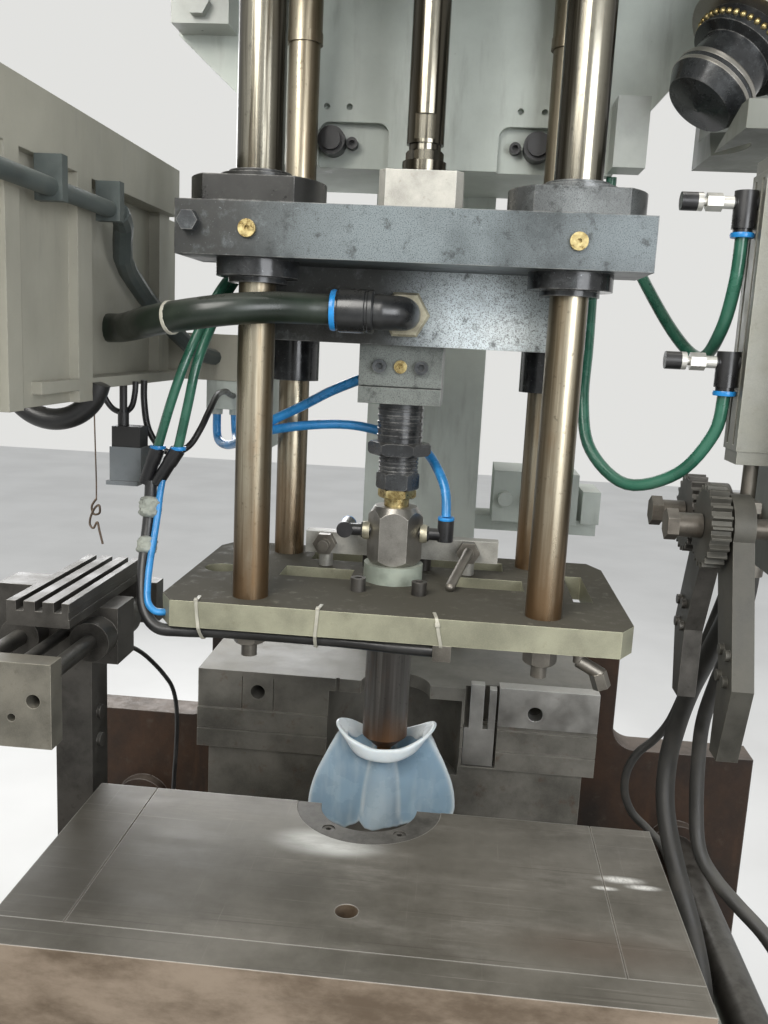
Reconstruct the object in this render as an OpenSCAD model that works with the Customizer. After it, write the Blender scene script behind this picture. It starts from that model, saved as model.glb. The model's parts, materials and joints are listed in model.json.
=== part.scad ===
// Extrusion blow moulding machine: blow pin station, stripper, mould clamp and take-out side.
// Millimetres. X to the right, Y to the rear, Z up, floor at Z = 0.

/* [Columns] */
// Half the distance between the left and right columns
col_x = 165; // [150:1:175]
// Half the distance between the front and rear columns
col_y = 117; // [112:1:122]
// Diameter of the lower rods that carry the stripper plate
rod_d = 40; // [34:1:42]
// Diameter of the upper guide rods
guide_d = 50; // [48:1:56]

/* [Stripper plate] */
// Width of the stripper plate
plate_w = 524; // [480:2:560]
// Thickness of the stripper plate
plate_t = 30; // [20:1:36]
// Height of the top of the stripper plate
plate_z = 1210; // [1200:1:1220]
// Distance of the plate's front face from the column centre plane
plate_front = 158; // [150:1:170]

/* [Crosshead] */
// Width of the crosshead bar
bar_w = 480; // [440:2:520]
// Depth of the crosshead bar
bar_d = 106; // [100:1:112]
// Height of the crosshead bar
bar_h = 54; // [44:1:60]
// Clear length of the lower rods between the plate and the bar
rod_free = 369; // [367:1:374]

/* [Blow pin] */
// Sideways place of the pin from the machine centre
pin_x = -12; // [-20:1:0]
// Outer diameter of the blow pin
pin_d = 57; // [44:1:60]
// Height of the pin's tip
tip_z = 992; // [985:1:1005]

/* [Moulds] */
// Height of the front mould's top face
mould_z = 1002; // [970:1:1005]
// Half width of the front mould
mould_hw = 300; // [280:1:305]
// Distance of each parting face from the pin axis when open
open_gap = 188; // [170:1:200]
// Bore radius of the half ring round the pin
ring_r = 52; // [48:1:60]
// Diameter of the tie bars
tie_d = 60; // [40:2:70]

/* [Head] */
// Height of the head's top plate
head_z = 2010; // [2000:5:2060]
// Half the width of the head's front plate
head_hw = 340; // [330:5:360]

/* [Bed] */
// Height of the bed's top
bed_z = 420; // [380:10:440]
// Half the bed's width
bed_hw = 560; // [550:5:600]
// Half the bed's length
bed_hl = 770; // [760:5:800]
// Thickness of the bed's walls
bed_wall = 15; // [10:1:20]

/* [Left slide] */
// Height of the slide's shafts
slide_z = 1167; // [1162:1:1172]
// Diameter of the slide's shafts
shaft_d = 18; // [14:1:20]

/* [Take-out arms] */
// Sideways place of the side cylinder
cyl_x = 378; // [370:1:386]
// Length of the side cylinder's tube
cyl_h = 286; // [260:2:300]
// Distance from an arm's pivot to its crank pin
crank = 28; // [26:1:29]

/* [Hidden] */
// Running clearance on a radius
run = 0.05;
// Gap between pieces of different bodies
gap = 0.3;
bar_z = plate_z + rod_free;
bar_top = bar_z + bar_h;
bar_y0 = -col_y - bar_d / 2;
bar_y1 = -col_y + bar_d / 2;
yoke_hw = col_x + 27;
yoke_z0 = bar_z - 82;
yoke_y1 = col_y + 33;
flange_d = bar_w - 2 * col_x - 9;
elbow_y = bar_y1 - 56;
clamp_z0 = yoke_z0 - 67;
plate_z0 = plate_z - plate_t;
collar_z0 = yoke_z0 - 52;
union_z0 = plate_z + 22.5;
head_low = bar_z + 147;
head_y = 185;
beam_z = bar_z + 71;
ledge_z = beam_z - 214;
drive_z = head_low + 154;
cyl_z = bar_z - 175;
arm_z = cyl_z - 79;
arm_ya = -130;
arm_yb = -46;
pitch_r = (arm_yb - arm_ya) / 2;
cyl_y = (arm_ya + arm_yb) / 2;
tie_x = bed_hw - 80;
tie_z = bed_z + 230;
ram_x = 230;
ram_z = bed_z + 110;
ram_d = 50;
drive_r = 68;
foot_x = bed_hw - 70;
foot_y = bed_hl - 70;
mould_low = bed_z + 80;
platen_low = bed_z + 20;
wing_x = tie_x + 118;
fplat_y0 = -open_gap - 282;
fplat_y1 = -open_gap - 246;
rplat_y0 = open_gap + 246;
rplat_y1 = rplat_y0 + 60;
bore_n = 64;
beam_x = -330;
beam_y = -430;
slide_x1 = -322;
slide_x2 = -400;
wing_z = mould_z - 180;
rest_y = open_gap + 306;

// One block from its two opposite corners
module block(x0, x1, y0, y1, z0, z1) {
  translate([x0, y0, z0])
    cube([x1 - x0, y1 - y0, z1 - z0]);
}

// Upright round bar
module zbar(x, y, z0, z1, d, n = 48) {
  translate([x, y, z0])
    cylinder(d = d, h = z1 - z0, $fn = n);
}

// Round bar along Y
module ybar(x, z, y0, y1, d, n = 48) {
  translate([x, y0, z])
    rotate([-90, 0, 0])
      cylinder(d = d, h = y1 - y0, $fn = n);
}

// Round bar along X
module xbar(y, z, x0, x1, d, n = 48) {
  translate([x0, y, z])
    rotate([0, 90, 0])
      cylinder(d = d, h = x1 - x0, $fn = n);
}

// Upright hexagon, with d across its corners and flats to front and rear
module zhex(x, y, z0, z1, d) {
  translate([x, y, z0])
    cylinder(d = d, h = z1 - z0, $fn = 6);
}

// Upright hexagon with its corners turned to a slight chamfer
module znut(x, y, z0, z1, d, c = 2) {
  intersection() {
    zhex(x, y, z0, z1, d);
    translate([x, y, z0])
      rotate_extrude($fn = 48)
        polygon([[0, 0], [d / 2 - c, 0], [d / 2 + 0.01, c], [d / 2 + 0.01, z1 - z0 - c],
          [d / 2 - c, z1 - z0], [0, z1 - z0]]);
  }
}

// Socket head screw standing on a horizontal face
module cap_screw(x, y, z, d, h) {
  difference() {
    zbar(x, y, z, z + h, d, 32);
    zhex(x, y, z + h * 0.45, z + h + 1, d * 0.55);
  }
}

// Socket head screw on a face that looks to the front
module cap_screw_front(x, z, y, d, h) {
  difference() {
    ybar(x, z, y - h, y, d, 32);
    ybar(x, z, y - h - 1, y - h * 0.45, d * 0.55, 6);
  }
}

function unit(v) = v / norm(v);
function spline(a, b, c, d, t) = 0.5 * (2 * b + (c - a) * t + (2 * a - 5 * b + 4 * c - d) * t * t
  + (3 * b - a - 3 * c + d) * t * t * t);
function smooth(p, s) = concat([for (i = [0:len(p) - 2]) for (k = [0:s - 1])
  spline(p[max(i - 1, 0)], p[i], p[i + 1], p[min(i + 2, len(p) - 1)], k / s)], [p[len(p) - 1]]);

// Hose through the given points, with a ring of n corners at each one. The first and last rings
// stand square to the given directions, so that the ends meet their fittings flat.
module hose(p, d, up, from, to, n = 10) {
  m = len(p);
  tan = [for (i = [0:m - 1])
    i == 0 ? from : i == m - 1 ? to : unit(p[i + 1] - p[i - 1])];
  u = [for (i = [0:m - 1]) unit(cross(tan[i], up))];
  v = [for (i = [0:m - 1]) cross(tan[i], u[i])];
  pts = [for (i = [0:m - 1]) for (k = [0:n - 1])
    p[i] + d / 2 * (cos(360 * k / n) * u[i] + sin(360 * k / n) * v[i])];
  sides = [for (i = [0:m - 2]) for (k = [0:n - 1])
    [i * n + k, i * n + (k + 1) % n, (i + 1) * n + (k + 1) % n, (i + 1) * n + k]];
  ends = [[for (k = [n - 1:-1:0]) k], [for (k = [0:n - 1]) (m - 1) * n + k]];
  polyhedron(points = pts, faces = [for (f = concat(sides, ends)) [for (k = [len(f) - 1:-1:0]) f[k]]],
    convexity = 6);
}

// Welded bed with feet, recessed covers and the end towers that hold the tie bars
module bed() {
  color([0.45, 0.48, 0.44]) {
    difference() {
      block(-bed_hw, bed_hw, -bed_hl, bed_hl, 60, bed_z);
      block(-bed_hw + bed_wall, bed_hw - bed_wall, -bed_hl + bed_wall, bed_hl - bed_wall, 59, bed_z - 25);
      for (x = [-440, 20])
        block(x, x + 420, -bed_hl - 1, -bed_hl + 6, 130, bed_z - 60);
      for (s = [-1, 1])
        for (y = [-700, -220, 260])
          block(s * bed_hw - 4, s * bed_hw + 4, y, y + 440, 130, bed_z - 60);
    }
    for (sx = [-1, 1])
      for (sy = [-1, 1]) {
        zbar(sx * foot_x, sy * foot_y, 0, 61, 110);
        block(sx * foot_x - 70, sx * foot_x + 70, sy * foot_y - 70, sy * foot_y + 70, 60, 80);
      }
    for (s = [-1, 1]) {
      difference() {
        block(s * tie_x - 80, s * tie_x + 80, -bed_hl + 55, -bed_hl + 115, bed_z, tie_z + 90);
        ybar(s * tie_x, tie_z, -bed_hl + 54, -bed_hl + 116, tie_d, bore_n);
      }
      difference() {
        union() {
          block(s * tie_x - 80, s * tie_x + 80, rest_y + 100, rest_y + 160, bed_z, tie_z + 90);
          block(s * 260 - 160, s * 260 + 160, rest_y + 100, rest_y + 160, bed_z, tie_z - 35);
        }
        ybar(s * tie_x, tie_z, rest_y + 99, rest_y + 161, tie_d, bore_n);
        ybar(s * ram_x, ram_z, rest_y + 99, rest_y + 161, 110, bore_n);
      }
    }
  }
}

// Bars in line with the clamp's stroke, held in the bed's four towers
module tie_bars() {
  color([0.6, 0.58, 0.55])
    for (s = [-1, 1])
      ybar(s * tie_x, tie_z, -bed_hl + 35, rest_y + 180, tie_d, bore_n);
}

// Cylinders that move the rear platen, held in the rear towers
module clamp_cylinders() {
  color([0.2, 0.2, 0.2])
    for (s = [-1, 1])
      difference() {
        union() {
          ybar(s * ram_x, ram_z, rest_y + 24, rest_y + 270, 110, bore_n);
          ybar(s * ram_x, ram_z, rest_y + 70, rest_y + 100, 140);
        }
        ybar(s * ram_x, ram_z, rest_y + 23, rest_y + 250, ram_d + 2 * run, bore_n);
      }
}

// Rear post of the machine, set back below so that the rear mould passes in front of it
module spine() {
  color([0.68, 0.71, 0.67]) {
    difference() {
      union() {
        block(-92, 92, 380, rest_y + 190, mould_z + 14, head_z);
        block(-92, 92, rest_y + 16, rest_y + 190, bed_z, mould_z + 15);
      }
      block(-84, 84, rest_y + 24, rest_y + 182, bed_z + 20, head_z - 20);
      block(-84, 84, 388, rest_y + 25, mould_z + 22, head_z - 20);
    }
  }
}

// Head: front plate with its two pockets, side cheeks back to the post
module head_frame() {
  color([0.68, 0.71, 0.67]) {
    difference() {
      translate([0, head_y, 0])
        rotate([90, 0, 0])
          linear_extrude(height = 25)
            polygon([[-205, head_low], [235, head_low], [262, head_low + 64], [head_hw, head_low + 157],
              [head_hw, head_z], [-head_hw, head_z], [-head_hw, head_low + 157], [-235, head_low + 64]]);
      for (x = [-150, 86]) {
        block(x, x + 92, head_y - 26, head_y - 13, head_low - 1, head_low + 42);
        block(x + 14, x + 78, head_y - 26, head_y - 13, head_low + 41, head_low + 56);
        for (c = [14, 78])
          ybar(x + c, head_low + 42, head_y - 26, head_y - 13, 28, 48);
      }
      for (x = [-141, -111, 112, 143])
        ybar(x, head_low + 75, head_y - 26, head_y - 15, 8, 24);
    }
    block(-235, -215, head_y, rest_y + 60, head_low + 64, head_z);
    block(225, 245, head_y, rest_y + 60, head_low + 64, head_z);
    block(-235, -215, head_y, 300, ledge_z - 96, head_low + 64);
    block(-215, -92, rest_y + 40, rest_y + 60, head_low + 64, head_z);
    block(92, 225, rest_y + 40, rest_y + 60, head_low + 64, head_z);
    block(-205, 225, head_y, 380, head_low, head_low + 20);
    block(-216, -204, head_y, 300, head_low, head_low + 64);
  }
}

// Closing plate of the head, with the openings for the bushes, the cylinder and the rear rods
module head_top() {
  color([0.68, 0.71, 0.67])
    difference() {
      block(-head_hw, head_hw, -200, rest_y + 190, head_z, head_z + 40);
      for (s = [-1, 1])
        zbar(s * col_x, -col_y, head_z - 1, head_z + 41, 70, bore_n);
      zbar(0, 0, head_z - 1, head_z + 41, 60, bore_n);
      for (s = [-1, 1])
        zbar(s * col_x, col_y, head_z - 1, head_z + 41, 60, bore_n);
    }
}

// Flanged bushes that guide the upper rods
module head_bushes() {
  color([0.12, 0.12, 0.13])
    for (s = [-1, 1])
      difference() {
        union() {
          zbar(s * col_x, -col_y, head_z - 30, head_z + 40, 70, bore_n);
          zbar(s * col_x, -col_y, head_z + 40, head_z + 56, 104);
          zbar(s * col_x, -col_y, head_z - 46, head_z, 84);
        }
        zbar(s * col_x, -col_y, head_z - 50, head_z + 60, guide_d + 2 * run, bore_n);
      }
}

// Cylinder that lifts the crosshead, with end caps and tie rods
module main_cylinder() {
  color([0.5, 0.52, 0.5])
    difference() {
      union() {
        block(-65, 65, -65, 65, head_z + 40, head_z + 70);
        block(-65, 65, -65, 65, head_z + 345, head_z + 375);
        zbar(0, 0, head_z + 70, head_z + 345, 108, bore_n);
        for (sx = [-1, 1])
          for (sy = [-1, 1]) {
            zbar(sx * 54, sy * 54, head_z + 70, head_z + 345, 12, 24);
            znut(sx * 54, sy * 54, head_z + 375, head_z + 387, 24);
          }
      }
      zbar(0, 0, head_z + 39, head_z + 75, 43 + 2 * run, bore_n);
      zbar(0, 0, head_z + 74, head_z + 335, 96, bore_n);
    }
}

// Knobs and screws in the pockets, the corner bracket with its bolt, and the pale block
module head_fittings() {
  color([0.07, 0.07, 0.08])
    for (s = [0, 1]) {
      kx = s == 0 ? -132 : 136;
      sx = s == 0 ? -106 : 108;
      ybar(kx, head_low + 31, head_y - 39, head_y - 13, 36);
      ybar(kx, head_low + 31, head_y - 44, head_y - 39, 26);
      cap_screw_front(sx, head_low + 30, head_y - 13, 15, 14);
    }
  color([0.8, 0.81, 0.78]) {
    block(-head_hw + 4, -262, head_y - 61, head_y - 25, head_low + 158, head_z - 20);
    block(-head_hw + 4, -262, head_y - 73, head_y - 61, head_low + 158, head_low + 204);
    ybar(-300, head_low + 180, head_y - 86, head_y - 73, 32, 6);
    block(228, 268, head_y - 75, head_y - 25, head_low + 2, head_low + 86);
  }
}

// Valve boxes on the right of the post and the black distributor under the left arm
module air_manifolds() {
  color([0.62, 0.65, 0.62]) {
    block(92, 300, 470, 540, 1190, 1215);
    block(120, 260, 420, 540, 1215, 1300);
    block(270, 300, 440, 540, 1215, 1270);
    for (x = [140, 180, 220])
      ybar(x, 1255, 400, 420, 24);
    block(-300, -245, 172, 198, ledge_z - 40, ledge_z);
    for (x = [-288, -262])
      zbar(x, 185, ledge_z - 48, ledge_z - 40, 16, 32);
  }
}

// Solid of revolution on the drive's axis, tilted forward and down
module on_drive_axis(outline) {
  translate([378, 60, drive_z])
    rotate([0, 38, 22])
      rotate([180, 0, 0])
        rotate_extrude($fn = 64)
          polygon(outline);
}

// Round drive with its bright flange and ribbed neck
module drive_motor() {
  color([0.09, 0.09, 0.1])
    on_drive_axis([[0, -60], [60, -60], [drive_r, -52], [drive_r, 18], [74, 18], [74, 30], [56, 30],
      [56, 52], [44, 56], [44, 84], [50, 88], [50, 104], [40, 122], [0, 128]]);
}

// Sheet metal beam on the left: recessed panels, uprights, ledge and the arm to the head
module left_frame() {
  color([0.8, 0.81, 0.78]) {
    block(beam_x - 130, beam_x, beam_y, 134, beam_z, beam_z + 59);
    block(beam_x - 14, beam_x - 10, beam_y, -155, beam_z - 226, beam_z);
    block(beam_x - 10, beam_x, -345, -318, beam_z - 226, beam_z);
    block(beam_x - 10, beam_x, -196, -160, beam_z - 226, beam_z);
    block(beam_x - 30, beam_x - 26, -159, 200, ledge_z, beam_z + 1);
    block(beam_x - 30, beam_x - 10, -159, -155, beam_z - 226, beam_z);
    block(beam_x - 26, beam_x - 12, 90, 130, ledge_z + 12, beam_z);
    block(beam_x - 70, beam_x, -281, 200, ledge_z, ledge_z + 12);
    block(beam_x - 30, -235, 170, 200, ledge_z, ledge_z + 64);
  }
}

// Pipe along the beam with its hangers, and the dark hose that leaves it for the rear arm
module beam_conduit() {
  color([0.3, 0.34, 0.32]) {
    ybar(beam_x + 14, beam_z - 28, beam_y, -120, 17, 24);
    for (y = [-290, -150])
      block(beam_x, beam_x + 26, y, y + 12, beam_z - 40, beam_z);
    hose(smooth([[beam_x + 14, -120, beam_z - 28], [beam_x + 8, -92, beam_z - 38],
      [beam_x - 4, -62, beam_z - 70], [beam_x - 6, -16, beam_z - 94], [beam_x + 2, 40, beam_z - 126],
      [beam_x + 26, 110, beam_z - 170], [beam_x + 40, 170, beam_z - 182]], 2), 22, [0, 0, 1],
      [0, 1, 0], [0, 1, 0]);
  }
}

// Limit switch that hangs on its cable under the ledge
module limit_switch() {
  color([0.4, 0.42, 0.42]) {
    block(beam_x - 19, beam_x + 19, -66, -34, ledge_z - 112, ledge_z - 72);
    block(beam_x - 22, beam_x + 16, -70, -30, ledge_z - 117, ledge_z - 112);
    block(beam_x - 17, beam_x + 17, -64, -36, ledge_z - 72, ledge_z - 48);
    zbar(beam_x - 8, -50, ledge_z - 48, ledge_z - 32, 13, 24);
    zbar(beam_x - 8, -50, ledge_z - 32, ledge_z, 9, 24);
  }
}

// Fixed body of the left pneumatic slide, its bearings, slotted profile and column
module slide_body() {
  color([0.42, 0.41, 0.38]) {
    difference() {
      union() {
        block(-436, -300, -170, -120, slide_z - 32, slide_z + 32);
        for (x = [slide_x1, slide_x2])
          ybar(x, slide_z, -196, -96, 44);
        block(-436, -380, -170, -120, slide_z + 32, slide_z + 52);
      }
      for (x = [slide_x1, slide_x2])
        ybar(x, slide_z, -210, -80, shaft_d + 2 * run, bore_n);
      ybar(-361, slide_z, -171, -119, 12 + 2 * run, bore_n);
    }
    difference() {
      block(-386, -320, -250, -40, slide_z + 32, slide_z + 58);
      for (x = [-376, -356, -336])
        block(x, x + 8, -251, -39, slide_z + 48, slide_z + 59);
      block(-321, -314, -251, -39, slide_z + 41, slide_z + 49);
    }
    block(-372, -330, -170, -125, bed_z + 14, slide_z - 32);
    block(-400, -330, -235, -105, bed_z, bed_z + 14);
    for (z = [131, 97])
      xbar(-150, slide_z - z, -330, -326, 16, 24);
  }
}

// Plates that hang the side cylinder, the take-out arms and the drive from the head
module side_support() {
  shelf_z = head_low + 14;
  color([0.6, 0.62, 0.6])
    difference() {
      union() {
        block(cyl_x + 28, cyl_x + 46, -175, 0, arm_z - 55, shelf_z);
        block(340, cyl_x + 46, -60, head_y, shelf_z, shelf_z + 30);
        block(340, cyl_x + 46, head_y - 25, head_y, shelf_z + 30, head_z - 20);
        block(cyl_x + 25, cyl_x + 28, cyl_y - 25, cyl_y + 25, cyl_z - 4, cyl_z + cyl_h + 10);
        block(340, cyl_x + 46, 100, head_y - 25, drive_z + 20, head_z - 20);
      }
      for (y = [arm_ya, arm_yb])
        xbar(y, arm_z, cyl_x + 22, cyl_x + 52, 16, bore_n);
      on_drive_axis([[0, -61], [drive_r, -61], [drive_r, 17.7], [75, 17.7], [75, 130], [0, 130]]);
    }
}

// Profile tube cylinder that drives the arms
module side_cylinder() {
  color([0.72, 0.73, 0.72])
    difference() {
      union() {
        block(cyl_x - 25, cyl_x + 25, cyl_y - 25, cyl_y + 25, cyl_z, cyl_z + cyl_h);
        block(cyl_x - 23, cyl_x + 23, cyl_y - 23, cyl_y + 23, cyl_z - 14, cyl_z);
        block(cyl_x - 23, cyl_x + 23, cyl_y - 23, cyl_y + 23, cyl_z + cyl_h, cyl_z + cyl_h + 14);
      }
      zbar(cyl_x, cyl_y, cyl_z - 15, cyl_z + 96, 16 + 2 * run, bore_n);
      for (s = [-1, 1])
        block(cyl_x - 26, cyl_x - 21, cyl_y + s * 12 - 3, cyl_y + s * 12 + 3, cyl_z + 6, cyl_z + cyl_h - 6);
    }
}

// Flow control on the cylinder: elbow, adjusting screw and push-in collar
module flow_control(z) {
  x = cyl_x - 25;
  xbar(cyl_y, z, x - 22, x, 16, 32);
  zbar(x - 12, cyl_y, z - 26, z + 12, 24, 32);
  zbar(x - 12, cyl_y, z - 34, z - 26, 20, 32);
  xbar(cyl_y, z, x - 36, x - 22, 13, 32);
  xbar(cyl_y, z, x - 52, x - 36, 19, 6);
  xbar(cyl_y, z, x - 56, x - 52, 9, 32);
  xbar(cyl_y, z, x - 78, x - 56, 19, 32);
}

// One flow control near either end of the side cylinder
module flow_controls() {
  color([0.1, 0.1, 0.11]) {
    flow_control(cyl_z + cyl_h - 30);
    flow_control(cyl_z + 92);
  }
}

// Two pivots of the arms, with their bolt heads and spacers
module arm_pivots() {
  color([0.45, 0.36, 0.3])
    for (y = [arm_ya, arm_yb]) {
      xbar(y, arm_z, 296, cyl_x + 46, 16, bore_n);
      xbar(y, arm_z, 284, 296, 34, 6);
      xbar(y, arm_z, 296, 321, 26);
      xbar(y, arm_z, 368.5, cyl_x + 28, 22);
    }
}

// Bar that joins the front guide rods
module crosshead_bar() {
  color([0.13, 0.14, 0.15])
    difference() {
      block(-bar_w / 2, bar_w / 2, bar_y0, bar_y1, bar_z, bar_top);
      for (s = [-1, 1]) {
        zbar(s * col_x, -col_y, bar_z - 1, bar_top + 1, guide_d, bore_n);
        ybar(s * col_x, bar_z + bar_h / 2, bar_y0 - 1, bar_y0 + 8, 14, 32);
      }
      ybar(-bar_w / 2 + 16, bar_z + 32, bar_y0 - 1, bar_y0 + 20, 12, 32);
    }
}

// Heavy block behind the bar that carries the pin and the rear rods' collars
module yoke_block() {
  color([0.12, 0.12, 0.13])
    difference() {
      block(-yoke_hw, yoke_hw, bar_y1, yoke_y1, yoke_z0, bar_top);
      for (s = [-1, 1])
        zbar(s * col_x, col_y, yoke_z0 - 1, bar_top + 1, rod_d + 1, bore_n);
      ybar(-8, yoke_z0 + 33, bar_y1 - 1, bar_y1 + 40, 24, 32);
      block(-yoke_hw - 1, -yoke_hw + 3, bar_y1 - 1, bar_y1 + 70, yoke_z0 - 1, bar_top + 1);
    }
}

// Round flanges with a flat at the front, and the thin discs on top
module upper_flanges() {
  color([0.1, 0.1, 0.11])
    for (s = [-1, 1])
      difference() {
        union() {
          intersection() {
            zbar(s * col_x, -col_y, bar_top, bar_top + 25, flange_d, 96);
            block(s * col_x - 80, s * col_x + 80, bar_y0, bar_y1 + 20, bar_top, bar_top + 25);
          }
          zbar(s * col_x, -col_y, bar_top + 25, bar_top + 31, 83, 64);
          zbar(s * col_x, -col_y, bar_top + 31, bar_top + 35, 66, 64);
        }
        zbar(s * col_x, -col_y, bar_top - 1, bar_top + 40, guide_d, bore_n);
      }
}

// Hollow guide rods that run through the head bushes
module guide_rods() {
  color([0.75, 0.73, 0.7])
    for (s = [-1, 1])
      difference() {
        zbar(s * col_x, -col_y, bar_z, head_z + 190, guide_d, bore_n);
        zbar(s * col_x, -col_y, bar_z - 1, head_z - 60, rod_d + 2, bore_n);
      }
}

// Bushes that guide the lower rods: rings under the bar, collars under the rear block
module rod_bushes() {
  color([0.1, 0.1, 0.1])
    for (s = [-1, 1])
      difference() {
        union() {
          zbar(s * col_x, -col_y, bar_z - 18, bar_z, 88, 64);
          zbar(s * col_x, -col_y, bar_z - 24, bar_z - 18, 62, 64);
          zbar(s * col_x, col_y, collar_z0, yoke_z0, 64, 64);
        }
        zbar(s * col_x, -col_y, bar_z - 30, bar_z + 1, rod_d + 2 * run, bore_n);
        zbar(s * col_x, col_y, collar_z0 - 1, yoke_z0 + 1, rod_d + 2 * run, bore_n);
      }
}

// Block between the crosshead and the cylinder rod
module head_adapter() {
  color([0.62, 0.61, 0.57])
    difference() {
      block(-47, 47, -50, 50, bar_top, bar_top + 56);
      for (sx = [-1, 1])
        for (sy = [-1, 1])
          translate([sx * 47, sy * 50, bar_top - 1])
            rotate([0, 0, 45])
              translate([-5.5, -5.5, 0])
                cube([11, 11, 58]);
    }
}

// Rod of the main cylinder with its piston, the flats near its end and its lock nut
module piston_rod() {
  color([0.7, 0.68, 0.64]) {
    difference() {
      zbar(0, 0, bar_top + 91, head_z + 240, 43, bore_n);
      for (s = [-1, 1])
        block(-40, 40, s * 24 - 6, s * 24 + 6, bar_top + 95, bar_top + 122);
    }
    zbar(0, 0, bar_top + 84, bar_top + 91, 37, 32);
    zbar(0, 0, bar_top + 56, bar_top + 72, 51);
    znut(0, 0, bar_top + 72, bar_top + 84, 44);
    zbar(0, 0, head_z + 190, head_z + 220, 95.8, bore_n);
  }
}

// Grease plugs in the bar and in the pin clamp
module grease_plugs() {
  color([0.8, 0.66, 0.35]) {
    for (s = [-1, 1])
      difference() {
        union() {
          ybar(s * col_x, bar_z + bar_h / 2, bar_y0 - 4, bar_y0, 18, 32);
          ybar(s * col_x, bar_z + bar_h / 2, bar_y0, bar_y0 + 8, 14, 32);
        }
        ybar(s * col_x, bar_z + bar_h / 2, bar_y0 - 5, bar_y0 - 1, 5, 24);
      }
    difference() {
      ybar(pin_x, clamp_z0 + 43, -52, -48, 15, 32);
      ybar(pin_x, clamp_z0 + 43, -53, -50, 5, 24);
    }
  }
}

// Elbow of the large hose: hexagon on the yoke's face, body, collar and release ring
module hose_elbow() {
  color([0.08, 0.08, 0.09]) {
    ybar(-8, yoke_z0 + 33, bar_y1 - 14, bar_y1, 50, 6);
    ybar(-8, yoke_z0 + 33, bar_y1, bar_y1 + 38, 24, 32);
    ybar(-8, yoke_z0 + 34, elbow_y - 20, bar_y1 - 14, 40);
    xbar(elbow_y, yoke_z0 + 34, -56, -8, 38);
    xbar(elbow_y, yoke_z0 + 34, -76, -38, 46);
    xbar(elbow_y, yoke_z0 + 34, -83, -76, 40);
  }
}

// Split clamp that holds the pin's shank
module clamp_block() {
  color([0.24, 0.25, 0.26])
    difference() {
      block(pin_x - 48, pin_x + 48, -48, 48, clamp_z0, yoke_z0);
      block(pin_x - 49, pin_x + 49, -49, -40, clamp_z0 + 19, clamp_z0 + 20.5);
      zbar(pin_x, 0, clamp_z0 - 1, clamp_z0 + 50, 54, bore_n);
    }
}

// Screws of the pin clamp and the hexagon bolt at the bar's left end
module clamp_screws() {
  color([0.12, 0.12, 0.13]) {
    for (s = [-1, 1])
      cap_screw_front(pin_x + s * 24, clamp_z0 + 43, -48, 16, 9);
    ybar(-bar_w / 2 + 16, bar_z + 32, bar_y0 - 12, bar_y0, 22, 6);
    ybar(-bar_w / 2 + 16, bar_z + 32, bar_y0, bar_y0 + 20, 12, 32);
  }
}

// Threaded shank of the pin, held in the clamp
module pin_shank() {
  color([0.12, 0.12, 0.12]) {
    zbar(pin_x, 0, clamp_z0 - 48, clamp_z0 + 49, 54, bore_n);
    for (z = [6:8:38])
      zbar(pin_x, 0, clamp_z0 - 48 + z, clamp_z0 - 48 + z + 3, 56, bore_n);
  }
}

// Wide lock nut, threaded neck and the narrower black nut under it
module lock_nuts() {
  color([0.13, 0.13, 0.13]) {
    znut(pin_x, 0, clamp_z0 - 63, clamp_z0 - 48, 77, 3);
    zbar(pin_x, 0, clamp_z0 - 85, clamp_z0 - 63, 46, 48);
    for (z = [0:5:15])
      zbar(pin_x, 0, clamp_z0 - 84 + z, clamp_z0 - 82 + z, 48.4, 48);
    znut(pin_x, 0, clamp_z0 - 105, clamp_z0 - 85, 53);
  }
}

// Brass nut and the neck below it that enters the union
module brass_nut() {
  color([0.62, 0.5, 0.28]) {
    znut(pin_x, 0, clamp_z0 - 116, clamp_z0 - 105, 47);
    zbar(pin_x, 0, union_z0 + 71, clamp_z0 - 116, 31);
  }
}

// Steel union above the plate, hexagon with turned ends
module union_body() {
  color([0.5, 0.49, 0.45])
    difference() {
      intersection() {
        zhex(pin_x, 0, union_z0, union_z0 + 71, 68);
        translate([pin_x, 0, union_z0])
          rotate_extrude($fn = 64)
            polygon([[0, 0], [29, 0], [34.1, 6], [34.1, 58], [26, 71], [0, 71]]);
      }
      for (s = [-1, 1])
        translate([pin_x + s * 20, 0, union_z0 + 38])
          rotate([0, s * 90, 0])
            cylinder(d = 16, h = 20, $fn = 32);
    }
}

// Push-in elbows on either side of the union
module air_elbows() {
  color([0.1, 0.1, 0.11]) {
    for (s = [-1, 1]) {
      translate([pin_x + s * 20, 0, union_z0 + 38])
        rotate([0, s * 90, 0]) {
          cylinder(d = 16, h = 20, $fn = 32);
          translate([0, 0, 14])
            cylinder(d = 19, h = 8, $fn = 6);
          translate([0, 0, 22])
            cylinder(d = 15, h = 24, $fn = 32);
        }
    }
    zbar(pin_x + 62, 0, union_z0 + 30, union_z0 + 56, 20, 32);
    zbar(pin_x + 62, 0, union_z0 + 56, union_z0 + 60, 16, 32);
    ybar(pin_x - 62, union_z0 + 38, -8, 30, 20, 32);
    ybar(pin_x - 62, union_z0 + 38, 30, 34, 16, 32);
  }
}

// Hollow blow pin with its tapered tip and the thin inner rod
module blow_pin() {
  color([0.2, 0.19, 0.19]) {
    difference() {
      union() {
        zbar(pin_x, 0, tip_z + 14, union_z0, pin_d, bore_n);
        translate([pin_x, 0, tip_z])
          cylinder(d1 = 26, d2 = pin_d, h = 14, $fn = bore_n);
      }
      zbar(pin_x, 0, tip_z - 1, tip_z + 60, 20, 32);
    }
    zbar(pin_x, 0, tip_z - 62, tip_z + 60, 16, 32);
    for (z = [0:7:42])
      zbar(pin_x, 0, tip_z - 56 + z, tip_z - 53 + z, 20, 32);
  }
}

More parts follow.
